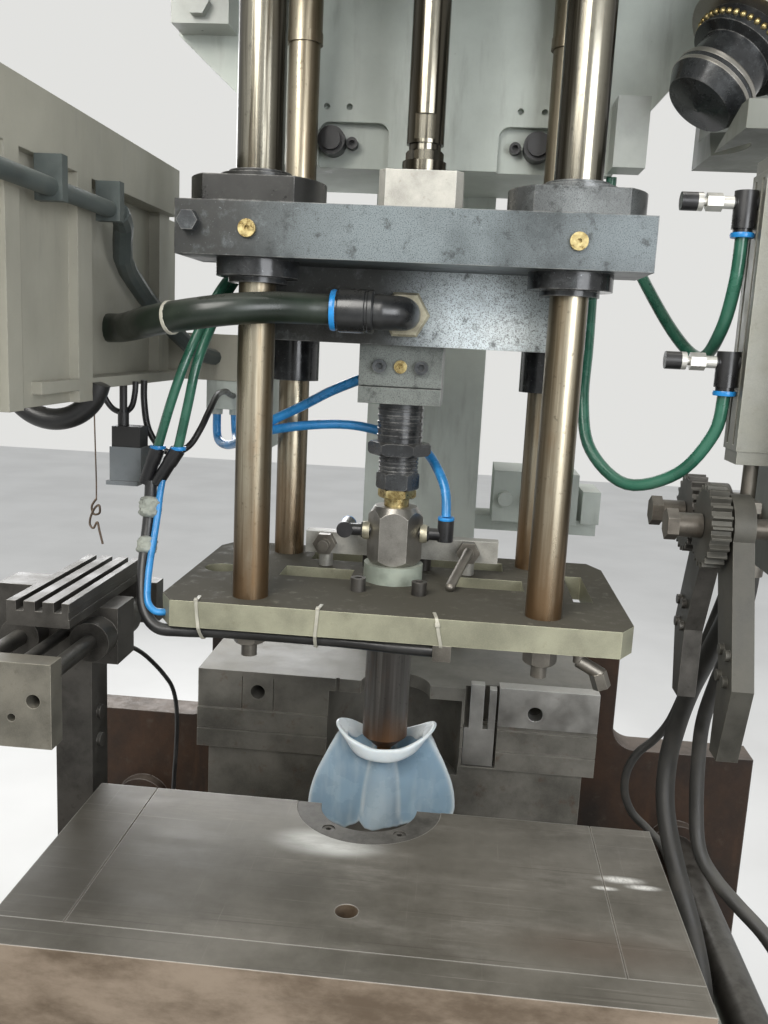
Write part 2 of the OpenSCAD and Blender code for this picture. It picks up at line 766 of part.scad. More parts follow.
// Waste piece that still hangs on the pin: open skirt, curled rim and the tail inside
module moil() {
  color([0.72, 0.8, 0.86])
    translate([pin_x, 0, 0])
      difference() {
        union() {
          scale([1, 0.6, 1])
            rotate_extrude($fn = 48)
              polygon([[44, 1016], [50, 1014], [62, 1024], [66, 1016], [60, 1002], [84, 974], [94, 940],
                [95, 905], [90, 880], [86, 880], [90, 905], [89, 940], [80, 970], [56, 996], [30, 1000],
                [30, 1006]]);
          translate([0, 0, 998])
            cylinder(d = pin_d + 10, h = 16, $fn = bore_n);
        }
        translate([0, 0, 980])
          cylinder(d = pin_d + 2 * gap, h = 60, $fn = bore_n);
      }
}

// Plate that strips the waste from the pin
module stripper_plate() {
  color([0.5, 0.52, 0.46])
    difference() {
      plate_blank();
      for (sx = [-1, 1])
        for (sy = [-1, 1])
          zbar(sx * col_x, sy * col_y, plate_z0 - 1, plate_z + 1, rod_d, bore_n);
      zbar(pin_x, 0, plate_z0 - 1, plate_z + 1, 66, bore_n);
      zbar(-229, 0, plate_z0 - 1, plate_z + 1, 42, bore_n);
      block(206, 229, -48, 77, plate_z0 - 1, plate_z + 1);
      for (x = [62, -152])
        block(x, x + 88, -16, 34, plate_z0 - 1, plate_z + 1);
      block(-128, 128, 80, 126, plate_z0 - 1, plate_z + 1);
    }
}

// Blank of the stripper plate, with its four corners cut
module plate_blank() {
  h = plate_w / 2;
  translate([0, 0, plate_z0])
    linear_extrude(height = plate_t)
      polygon([[-h + 16, -plate_front], [h - 16, -plate_front], [h, -plate_front + 26], [h, 126],
        [h - 16, 160], [-h + 16, 160], [-h, 126], [-h, -plate_front + 26]]);
}

// Four rods that carry the plate and slide in the crosshead
module stripper_rods() {
  color([0.5, 0.42, 0.34])
    for (s = [-1, 1]) {
      zbar(s * col_x, -col_y, plate_z0, bar_top + 150, rod_d, bore_n);
      zbar(s * col_x, col_y, plate_z0, head_z - 30, rod_d, bore_n);
      zbar(s * col_x, col_y, head_low + 137, head_low + 150, rod_d + 6, bore_n);
      zbar(s * col_x, col_y, head_low + 150, head_z - 30, rod_d + 4, bore_n);
    }
}

// Nuts and studs that hold the rods under the plate
module rod_nuts() {
  color([0.4, 0.38, 0.34])
    for (sx = [-1, 1])
      for (sy = [-1, 1]) {
        znut(sx * col_x, sy * col_y, plate_z0 - 24, plate_z0, 38);
        zbar(sx * col_x, sy * col_y, plate_z0 - 40, plate_z0 - 24, 18, 32);
      }
}

// Bush in the plate that the pin runs through
module nylon_bush() {
  color([0.82, 0.85, 0.78])
    difference() {
      union() {
        zbar(pin_x, 0, plate_z0, plate_z, 66, bore_n);
        zbar(pin_x, 0, plate_z, plate_z + 22, 73, 64);
      }
      zbar(pin_x, 0, plate_z0 - 1, plate_z + 23, pin_d + 2 * run, bore_n);
    }
}

// Screws of the bush's flange
module bush_screws() {
  color([0.13, 0.13, 0.14])
    for (s = [-1, 1])
      for (y = [-64, 62])
        cap_screw(pin_x + s * 36, y, plate_z, 18, 16);
}

// Flat bar behind the union on two spacers
module cross_bar() {
  color([0.75, 0.75, 0.72]) {
    block(-130, 118, 44, 64, plate_z + 18, plate_z + 46);
    for (x = [-104, 80])
      zbar(x, 54, plate_z, plate_z + 18, 18, 32);
  }
}

// Nuts and bolts at the ends of the cross bar, and the slanted locking pin
module cross_bar_bolts() {
  color([0.3, 0.3, 0.29]) {
    for (x = [-104, 80]) {
      ybar(x, plate_z + 32, 30, 44, 30, 6);
      ybar(x, plate_z + 32, 18, 30, 14, 32);
    }
    hull() {
      translate([80, 21, plate_z + 36])
        sphere(d = 12, $fn = 20);
      translate([60, -40, plate_z + 5.9])
        sphere(d = 12, $fn = 20);
    }
  }
}

// Slanted grease fitting with its strip, and the hose end piece, under the plate
module plate_fittings() {
  color([0.45, 0.42, 0.36]) {
    block(188, 250, -140, -120, plate_z0 - 6, plate_z0);
    translate([206, -130, plate_z0 - 14])
      rotate([0, 118, 0])
        cylinder(d = 15, h = 30, $fn = 24);
    translate([228, -130, plate_z0 - 26])
      rotate([0, 160, 0])
        cylinder(d = 20, h = 18, $fn = 6);
    zbar(206, -130, plate_z0 - 16, plate_z0 - 6, 12, 24);
    block(46, 66, -158, -140, plate_z0 - 18, plate_z0);
  }
}

// Half a bottle cavity below the half ring and the waste chamber, cut from either mould
module cavity(y) {
  zbar(pin_x, y, mould_z - 21, mould_z + 1, 2 * ring_r, 64);
  zbar(pin_x, y, mould_z - 142, mould_z - 20, 200, 64);
  zbar(pin_x, y, mould_z - 175, mould_z - 140, 70, 64);
  translate([pin_x, y, mould_z - 225])
    cylinder(d1 = 190, d2 = 70, h = 50.01, $fn = 64);
  zbar(pin_x, y, mould_low + 60, mould_z - 224.9, 190, 64);
}

// Front mould half, seen from above as the wide steel table
module front_mould() {
  color([0.38, 0.37, 0.34])
    difference() {
      block(pin_x - mould_hw, pin_x + mould_hw, fplat_y1, -open_gap, mould_low, mould_z);
      cavity(-open_gap);
      zbar(pin_x, -open_gap, mould_z - 14, mould_z + 1, 156, 96);
      zbar(pin_x, fplat_y1 + 54, mould_z - 45, mould_z + 1, 21, 32);
      for (x = [pin_x - 236, pin_x + 237])
        block(x - 0.5, x + 0.5, fplat_y1 - 1, -open_gap + 1, mould_z - 1.5, mould_z + 1);
    }
}

// Front platen: its middle stands behind the mould, its wings ride on the tie bars
module front_platen() {
  color([0.36, 0.27, 0.21])
    difference() {
      union() {
        block(pin_x - mould_hw, pin_x + mould_hw, fplat_y0, fplat_y1, platen_low, mould_z);
        block(-wing_x, wing_x, fplat_y0, fplat_y1, platen_low, wing_z);
        for (s = [-1, 1])
          ybar(s * tie_x, tie_z, fplat_y0 - 30, fplat_y1 + 30, 96);
      }
      for (s = [-1, 1])
        ybar(s * tie_x, tie_z, fplat_y0 - 40, fplat_y1 + 40, tie_d + 2 * run, bore_n);
    }
}

// Hardened half ring with its two screws, let into the front mould
module striker_ring() {
  color([0.3, 0.29, 0.27]) {
    difference() {
      intersection() {
        zbar(pin_x, -open_gap, mould_z - 14, mould_z - 0.6, 156, 96);
        block(pin_x - 90, pin_x + 90, -open_gap - 90, -open_gap, mould_z - 15, mould_z);
      }
      zbar(pin_x, -open_gap, mould_z - 15, mould_z, 2 * ring_r, 64);
      for (s = [-1, 1])
        zbar(pin_x + s * 37, -open_gap - 51, mould_z - 8, mould_z, 13, 32);
    }
    for (s = [-1, 1])
      cap_screw(pin_x + s * 37, -open_gap - 51, mould_z - 8.01, 12, 6.5);
  }
}

// Rear mould half: thick top section with its pads and pocket, narrower block below
module rear_mould() {
  color([0.4, 0.39, 0.37])
    difference() {
      union() {
        block(pin_x - mould_hw, pin_x + mould_hw, open_gap, rplat_y0, mould_z - 122, mould_z);
          block(pin_x - mould_hw + 15, pin_x + mould_hw - 15, open_gap + 14, rplat_y0, mould_low,
          mould_z - 121);
      }
      cavity(open_gap);
      block(pin_x - mould_hw - 1, pin_x + mould_hw + 1, open_gap - 1, open_gap + 4, mould_z - 60,
        mould_z + 1);
      block(pin_x - mould_hw - 1, pin_x + mould_hw + 1, open_gap - 1, open_gap + 3, mould_z - 94,
        mould_z - 91);
      block(pin_x + 112, pin_x + mould_hw + 1, open_gap - 1, open_gap + 26, mould_z - 54, mould_z + 1);
      block(pin_x + 104, pin_x + 154, open_gap - 1, open_gap + 18, mould_z - 120, mould_z + 1);
      for (x = [-208, 208])
        ybar(pin_x + x, mould_z - 31, open_gap - 1, open_gap + 60, 22, 48);
      for (x = [-232, -184])
        block(pin_x + x - 1, pin_x + x + 1, open_gap, open_gap + 7, mould_z - 60, mould_z - 8);
      block(pin_x - 90, pin_x - 84, open_gap, open_gap + 8, mould_z - 60, mould_z + 1);
    }
}

// Rear platen: raised middle with rounded shoulders, wings on the tie bars, piston rods
module rear_platen() {
  color([0.36, 0.3, 0.26])
    difference() {
      union() {
        block(-wing_x, wing_x, rplat_y0, rplat_y1, platen_low, wing_z);
        for (s = [-1, 1]) {
          difference() {
            block(s * 185 - 211, s * 185 + 211, rplat_y0, rplat_y1, wing_z - 1, wing_z + 40);
            ybar(s * 396, wing_z + 40, rplat_y0 - 1, rplat_y1 + 1, 80, 64);
          }
          ybar(s * tie_x, tie_z, rplat_y0 - 20, rplat_y1 + 10, 96);
          ybar(s * ram_x, ram_z, rplat_y1, rplat_y1 + 230, ram_d, bore_n);
        }
        block(-356, 356, rplat_y0, rplat_y1, wing_z + 39, mould_z);
      }
      for (s = [-1, 1])
        ybar(s * tie_x, tie_z, rplat_y0 - 30, rplat_y1 + 30, tie_d + 2 * run, bore_n);
    }
}

// Dark bracket and bright plate let into the rear mould's right half
module rear_fittings() {
  color([0.66, 0.66, 0.63]) {
    difference() {
      block(pin_x + 154, pin_x + mould_hw, open_gap + 2, open_gap + 26, mould_z - 53.5, mould_z + 6);
      ybar(pin_x + 208, mould_z - 31, open_gap + 1, open_gap + 27, 22, 48);
    }
    block(pin_x + 105, pin_x + 150, open_gap + 2, open_gap + 18, mould_z - 118, mould_z - 60);
    block(pin_x + 112, pin_x + 132, open_gap + 2, open_gap + 18, mould_z - 60, mould_z + 8);
    block(pin_x + 140, pin_x + 150, open_gap + 1, open_gap + 18, mould_z - 60, mould_z + 2);
  }
}

// Front tool block of the left slide
module slide_block() {
  color([0.6, 0.6, 0.58])
    difference() {
      block(-440, -312, -312, -288, slide_z - 70, slide_z + 16);
      ybar(-330, slide_z - 22, -313, -290, 14, 32);
      ybar(-352, slide_z - 40, -313, -300, 8, 24);
    }
}

// Shafts of the left slide with their end block
module slide_shafts() {
  color([0.34, 0.31, 0.28]) {
    for (x = [slide_x1, slide_x2])
      ybar(x, slide_z, -288, -30, shaft_d, bore_n);
    ybar(-361, slide_z, -288, -100, 12, bore_n);
    block(-420, -302, -34, -8, slide_z - 26, slide_z + 26);
  }
}

// Toothed hub in the YZ plane round its pivot
module hub(y, turn) {
  translate([322, y, arm_z])
    rotate([0, 90, 0])
      difference() {
        union() {
          rotate([0, 0, turn])
            linear_extrude(height = 20) {
              circle(r = pitch_r - 3.2, $fn = 96);
              for (k = [0:23])
                rotate([0, 0, k * 15])
                  polygon([[pitch_r - 8, -4], [pitch_r + 2.4, -1.2], [pitch_r + 2.4, 1.2],
                    [pitch_r - 8, 4]]);
            }
          cylinder(r = 28, h = 25, $fn = bore_n);
        }
        translate([0, 0, -1])
          cylinder(d = 16 + 2 * run, h = 27, $fn = bore_n);
      }
}

// Arm plate below its hub, with the crank pin on its outer face
module arm(y, s) {
  translate([368, 0, 0])
    rotate([0, -90, 0])
      linear_extrude(height = 22)
        difference() {
          union() {
            translate([arm_z, y])
              circle(r = 36, $fn = 64);
            polygon([[arm_z + 4, y - 30], [arm_z + 4, y + 30], [arm_z - 150, y + s * 62 + 26],
              [arm_z - 235, y + s * 50 + 14], [arm_z - 235, y + s * 50 - 14],
              [arm_z - 150, y + s * 62 - 26]]);
          }
          translate([arm_z, y])
            circle(d = 16 + 2 * run, $fn = bore_n);
        }
  for (dz = [120, 148])
    for (dy = [-11, 11])
      xbar(y + s * 56 + dy, arm_z - dz, 341, 346, 12, 24);
  xbar(y - s * crank, arm_z, 368, 384, 10, 32);
}

// Front arm of the pair, with its teeth turned half a pitch to mesh
module front_arm() {
  color([0.48, 0.48, 0.46]) {
    hub(arm_ya, 7.5);
    arm(arm_ya, -1);
  }
}

// Rear arm of the pair
module rear_arm() {
  color([0.3, 0.3, 0.3]) {
    hub(arm_yb, 0);
    arm(arm_yb, 1);
  }
}

// Rod of the side cylinder and the slotted yoke that turns both arms
module rod_yoke() {
  color([0.6, 0.6, 0.6]) {
    zbar(cyl_x, cyl_y, arm_z + 27, cyl_z + 76, 16, bore_n);
    difference() {
      block(cyl_x - 6, cyl_x + 5, cyl_y - 37, cyl_y + 37, arm_z - 13, arm_z + 27);
      hull()
        for (s = [-1, 1])
          xbar(cyl_y + s * 16, arm_z, cyl_x - 7, cyl_x + 7, 10.6, 32);
      for (y = [arm_ya, arm_yb])
        hull()
          for (dz = [-3, 12])
            xbar(y, arm_z - dz, cyl_x - 7, cyl_x + 7, 27, 32);
    }
  }
}

// Large dark hose from the elbow, past the front of the left rod, to the beam's rear panel
module main_hose() {
  color([0.12, 0.2, 0.16])
    hose(smooth([[-83, elbow_y, yoke_z0 + 34], [-108, elbow_y - 7, yoke_z0 + 34],
      [-140, elbow_y - 28, yoke_z0 + 33], [-178, elbow_y - 46, yoke_z0 + 29],
      [-222, elbow_y - 48, yoke_z0 + 22], [-270, elbow_y - 24, yoke_z0 + 14],
      [-308, elbow_y + 22, yoke_z0 + 8], [-334, elbow_y + 58, yoke_z0 + 5],
      [beam_x - 26, elbow_y + 68, yoke_z0 + 4]], 2), 33, [0, 0, 1], [-1, 0, 0], [-1, 0, 0]);
}

// Blue tubes from the clamp and from the right elbow to the distributor at the left rear
module air_tubes() {
  color([0.1, 0.4, 0.75]) {
    hose(smooth([[pin_x - 48, -20, clamp_z0 + 26], [-100, 10, clamp_z0 + 8], [-140, 40, clamp_z0 - 14],
      [-196, 60, clamp_z0 - 44], [-250, 130, clamp_z0 - 78], [-284, 180, clamp_z0 - 78],
      [-288, 185, ledge_z - 48]], 2), 12, [0.3, -1, 0.2], [-1, 0, 0], [0, 0, 1]);
    hose(smooth([[pin_x + 62, 0, union_z0 + 60], [pin_x + 56, 14, union_z0 + 100],
      [pin_x + 24, 48, union_z0 + 140], [pin_x - 36, 52, union_z0 + 158],
      [pin_x - 90, 50, union_z0 + 162], [-180, 54, union_z0 + 150], [-240, 130, union_z0 + 122],
      [-258, 178, union_z0 + 128], [-262, 185, ledge_z - 48]], 2), 12, [0.3, -1, 0.2],
      [0, 0, 1], [0, 0, 1]);
  }
}

// Y joint of the plate's hose, from the hose's place up to a green branch
module y_joint(s) {
  hull() {
    translate([-298 + s * 14, -88, plate_z0 + 146])
      cylinder(d = 15, h = 4, $fn = 24);
    translate([-284 + s * 24, -86, plate_z0 + 186])
      cylinder(d = 17, h = 4, $fn = 24);
  }
}

// Black hose tied under the plate's front edge, the Y joints and the green branches above
module plate_hoses() {
  color([0.08, 0.08, 0.09]) {
    hose(smooth([[46, -149, plate_z0 - 9], [0, -156, plate_z0 - 9], [-60, -164, plate_z0 - 9],
      [-180, -166, plate_z0 - 8], [-262, -164, plate_z0 + 2], [-304, -134, plate_z0 + 34],
      [-312, -104, plate_z0 + 88], [-296, -88, plate_z0 + 150]], 2), 14, [0, 1, 0],
      [-1, 0, 0], [0, 0, 1]);
    for (s = [0, 1])
      y_joint(s);
    for (s = [0, 1])
      hose(smooth([[-284 + s * 24, -86, plate_z0 + 189], [-264 + s * 18, -92, plate_z0 + 245],
        [-248 + s * 12, -86, plate_z0 + 278], [-260 + s * 12, -60, plate_z0 + 296],
        [-300, -52 + s * 4, plate_z0 + 294 - s * 14], [beam_x - 26, -56 + s * 6, plate_z0 + 290 - s * 14]],
        2), 11, [0.2, 1, 0], [0, 0, 1], [-1, 0, 0]);
  }
}

// Green tubes: the loop below the lower flow control, and the drop from the upper one
module green_tubes() {
  x = cyl_x - 37;
  color([0.2, 0.5, 0.4]) {
    hose(smooth([[x, cyl_y, cyl_z + 58], [x - 5, cyl_y + 4, cyl_z + 16], [x - 35, cyl_y + 22, cyl_z - 32],
      [x - 85, cyl_y + 52, cyl_z - 52], [x - 129, cyl_y + 82, cyl_z - 20],
      [x - 138, cyl_y + 102, cyl_z + 36], [x - 132, cyl_y + 128, cyl_z + 106],
      [x - 125, 100, cyl_z + 196], [x - 123, 168, cyl_z + 276], [x - 123, 172, head_low]], 2),
      14, [0.2, 1, 0.2], [0, 0, -1], [0, 0, 1]);
    hose(smooth([[x, cyl_y, cyl_z + cyl_h - 64], [x - 1, cyl_y + 2, cyl_z + 176],
      [x - 5, cyl_y + 22, cyl_z + 126], [x - 13, cyl_y + 68, cyl_z + 96], [x - 37, 30, cyl_z + 126],
      [x - 73, 110, cyl_z + 206], [x - 101, 168, cyl_z + 276], [x - 105, 172, head_low]], 2),
      14, [0.2, 1, 0.2], [0, 0, -1], [0, 0, 1]);
  }
}

bed();
tie_bars();
clamp_cylinders();
spine();
head_frame();
head_top();
head_bushes();
main_cylinder();
head_fittings();
air_manifolds();
drive_motor();
left_frame();
beam_conduit();
limit_switch();
slide_body();
side_support();
side_cylinder();
flow_controls();
arm_pivots();
crosshead_bar();
yoke_block();
upper_flanges();
guide_rods();
rod_bushes();
head_adapter();
piston_rod();
grease_plugs();
hose_elbow();
clamp_block();
clamp_screws();
pin_shank();
lock_nuts();
brass_nut();
union_body();
air_elbows();
blow_pin();
moil();
stripper_plate();
stripper_rods();
rod_nuts();
nylon_bush();
bush_screws();
cross_bar();
cross_bar_bolts();
plate_fittings();
front_mould();
front_platen();
striker_ring();
rear_mould();
rear_platen();
rear_fittings();
slide_block();
slide_shafts();
front_arm();
rear_arm();
rod_yoke();
main_hose();
air_tubes();
plate_hoses();
green_tubes();
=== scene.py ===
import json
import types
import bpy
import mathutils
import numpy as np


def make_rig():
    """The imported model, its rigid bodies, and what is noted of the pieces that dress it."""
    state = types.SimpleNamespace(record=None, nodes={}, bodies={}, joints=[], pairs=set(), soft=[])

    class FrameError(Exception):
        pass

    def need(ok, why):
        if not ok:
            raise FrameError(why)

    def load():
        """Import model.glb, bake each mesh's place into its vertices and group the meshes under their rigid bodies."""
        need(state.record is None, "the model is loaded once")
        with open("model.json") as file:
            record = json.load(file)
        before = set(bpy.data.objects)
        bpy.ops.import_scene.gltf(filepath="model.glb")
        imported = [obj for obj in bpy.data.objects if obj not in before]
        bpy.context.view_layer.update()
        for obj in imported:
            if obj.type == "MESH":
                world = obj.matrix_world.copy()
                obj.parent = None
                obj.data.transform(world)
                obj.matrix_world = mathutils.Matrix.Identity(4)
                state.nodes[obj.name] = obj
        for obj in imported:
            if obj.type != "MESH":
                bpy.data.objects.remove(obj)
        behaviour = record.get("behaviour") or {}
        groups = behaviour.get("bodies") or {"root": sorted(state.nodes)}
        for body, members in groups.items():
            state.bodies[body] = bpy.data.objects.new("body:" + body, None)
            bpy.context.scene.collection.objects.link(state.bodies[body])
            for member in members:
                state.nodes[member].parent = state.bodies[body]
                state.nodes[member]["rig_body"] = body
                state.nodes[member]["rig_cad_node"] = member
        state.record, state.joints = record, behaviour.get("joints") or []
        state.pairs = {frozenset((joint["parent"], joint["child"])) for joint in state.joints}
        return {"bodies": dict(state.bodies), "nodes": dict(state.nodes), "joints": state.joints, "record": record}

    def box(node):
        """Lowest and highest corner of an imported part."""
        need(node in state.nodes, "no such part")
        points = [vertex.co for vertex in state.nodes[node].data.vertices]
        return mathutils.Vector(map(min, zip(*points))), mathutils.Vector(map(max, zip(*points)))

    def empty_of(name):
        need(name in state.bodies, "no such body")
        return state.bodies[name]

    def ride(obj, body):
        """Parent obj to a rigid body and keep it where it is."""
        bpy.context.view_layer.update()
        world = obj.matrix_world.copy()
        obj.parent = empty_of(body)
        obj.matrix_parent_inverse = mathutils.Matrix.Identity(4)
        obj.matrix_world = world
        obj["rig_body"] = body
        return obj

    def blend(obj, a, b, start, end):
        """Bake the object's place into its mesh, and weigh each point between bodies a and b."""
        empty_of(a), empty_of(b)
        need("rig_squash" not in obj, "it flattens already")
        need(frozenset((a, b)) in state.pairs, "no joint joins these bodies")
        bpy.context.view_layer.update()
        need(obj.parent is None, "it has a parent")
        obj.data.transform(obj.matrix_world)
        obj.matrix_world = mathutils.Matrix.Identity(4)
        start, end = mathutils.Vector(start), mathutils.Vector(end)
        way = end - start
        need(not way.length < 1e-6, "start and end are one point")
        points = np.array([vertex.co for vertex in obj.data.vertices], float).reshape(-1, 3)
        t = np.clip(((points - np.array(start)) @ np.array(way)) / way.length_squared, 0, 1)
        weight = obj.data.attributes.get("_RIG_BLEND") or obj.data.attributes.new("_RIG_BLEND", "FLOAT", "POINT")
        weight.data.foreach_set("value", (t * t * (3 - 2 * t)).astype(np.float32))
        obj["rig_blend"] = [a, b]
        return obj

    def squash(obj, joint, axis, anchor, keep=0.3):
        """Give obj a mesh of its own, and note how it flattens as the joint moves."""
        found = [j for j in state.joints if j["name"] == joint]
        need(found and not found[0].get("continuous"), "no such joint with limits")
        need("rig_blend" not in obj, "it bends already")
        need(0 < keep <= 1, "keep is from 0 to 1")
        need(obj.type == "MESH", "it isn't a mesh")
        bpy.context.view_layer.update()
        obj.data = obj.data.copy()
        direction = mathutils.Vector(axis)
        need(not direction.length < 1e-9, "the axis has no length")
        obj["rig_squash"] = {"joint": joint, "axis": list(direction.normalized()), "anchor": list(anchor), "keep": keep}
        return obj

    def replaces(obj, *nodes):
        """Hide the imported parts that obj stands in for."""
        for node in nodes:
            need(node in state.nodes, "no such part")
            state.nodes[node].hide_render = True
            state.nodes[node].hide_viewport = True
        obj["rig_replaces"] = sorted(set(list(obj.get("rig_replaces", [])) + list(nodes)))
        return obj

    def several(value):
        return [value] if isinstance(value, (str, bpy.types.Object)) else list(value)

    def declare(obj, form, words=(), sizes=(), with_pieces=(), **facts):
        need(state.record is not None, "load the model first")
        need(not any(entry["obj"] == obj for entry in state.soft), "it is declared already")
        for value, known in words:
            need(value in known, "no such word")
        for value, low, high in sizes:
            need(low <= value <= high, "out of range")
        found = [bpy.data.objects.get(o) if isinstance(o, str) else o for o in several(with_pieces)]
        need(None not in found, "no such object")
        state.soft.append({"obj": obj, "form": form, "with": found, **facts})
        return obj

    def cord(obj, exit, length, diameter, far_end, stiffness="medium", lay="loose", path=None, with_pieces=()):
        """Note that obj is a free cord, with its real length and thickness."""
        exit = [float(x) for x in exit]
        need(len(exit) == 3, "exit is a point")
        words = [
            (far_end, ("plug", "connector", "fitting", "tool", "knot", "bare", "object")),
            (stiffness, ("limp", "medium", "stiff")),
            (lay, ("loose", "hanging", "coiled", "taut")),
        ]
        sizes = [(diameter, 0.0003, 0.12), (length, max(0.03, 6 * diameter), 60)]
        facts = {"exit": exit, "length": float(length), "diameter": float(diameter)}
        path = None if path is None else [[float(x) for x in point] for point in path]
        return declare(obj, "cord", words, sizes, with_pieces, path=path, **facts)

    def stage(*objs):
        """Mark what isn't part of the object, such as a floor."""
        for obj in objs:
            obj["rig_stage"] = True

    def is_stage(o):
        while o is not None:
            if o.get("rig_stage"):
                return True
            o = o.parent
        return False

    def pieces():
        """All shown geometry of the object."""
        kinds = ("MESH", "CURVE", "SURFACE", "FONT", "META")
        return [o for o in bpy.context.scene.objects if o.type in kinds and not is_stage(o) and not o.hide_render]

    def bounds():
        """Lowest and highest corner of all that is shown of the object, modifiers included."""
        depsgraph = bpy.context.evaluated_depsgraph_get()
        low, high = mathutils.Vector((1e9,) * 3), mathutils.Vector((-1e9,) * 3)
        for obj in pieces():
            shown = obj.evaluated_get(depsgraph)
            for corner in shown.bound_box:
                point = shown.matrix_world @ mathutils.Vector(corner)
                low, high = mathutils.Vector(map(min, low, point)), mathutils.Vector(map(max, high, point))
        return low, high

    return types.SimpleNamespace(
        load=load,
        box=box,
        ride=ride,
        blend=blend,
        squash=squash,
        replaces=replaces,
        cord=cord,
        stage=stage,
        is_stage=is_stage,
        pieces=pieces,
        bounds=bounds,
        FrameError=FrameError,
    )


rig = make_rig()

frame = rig.load()

import json
from math import copysign, cos, exp, pi, radians, sin, sqrt

import bmesh
import bpy
from mathutils import Matrix, Vector

cad_box = [list(corner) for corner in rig.bounds()]
CAD = frame["nodes"]
MM = 0.001

# Driving dimensions, in metres, as in the frame
COL_X = 0.165
PIN_X = -0.012
CYL_X = 0.378
PLATE_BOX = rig.box("stripper_plate")
PLATE_FRONT, PLATE_LOW, PLATE_TOP = PLATE_BOX[0][1], PLATE_BOX[0][2], PLATE_BOX[1][2]
BAR_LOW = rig.box("crosshead_bar")[0]
FLANGE_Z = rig.box("upper_flanges")[1][2]
YOKE_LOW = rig.box("yoke_block")[0]
TABLE_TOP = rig.box("front_mould")[1][2]
OPEN_GAP = -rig.box("front_mould")[1][1]
UNION_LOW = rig.box("union_body")[0][2]
CLAMP_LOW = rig.box("clamp_block")[0][2]
LOWER_FLOW, UPPER_FLOW = 1.462, 1.626

# Camera: place and turn worked out from the columns, the bar and the plate
CAM_PLACE = Vector((0.0643, -1.1288, 1.4999))
CAM_YAW = 0.0805
CAM_PITCH = -0.1795
CAM_ROLL = -0.0491
FOCAL_PX = 934.05
FRAME_PX = 1024
SENSOR = 36.0


def add_object(name, data):
    obj = bpy.data.objects.new(name, data)
    bpy.context.scene.collection.objects.link(obj)
    return obj


def make_camera():
    data = bpy.data.cameras.new("camera")
    data.sensor_width = SENSOR
    data.lens = FOCAL_PX * SENSOR / FRAME_PX
    data.clip_start = 0.02
    camera = add_object("camera", data)
    turn = Matrix.Identity(3)
    for angle, axis in ((CAM_YAW, "Z"), (CAM_PITCH, "X"), (CAM_ROLL, "Y"), (pi / 2, "X")):
        turn = turn @ Matrix.Rotation(angle, 3, axis)
    camera.matrix_world = Matrix.Translation(CAM_PLACE) @ turn.to_4x4()
    bpy.context.scene.camera = camera


make_camera()


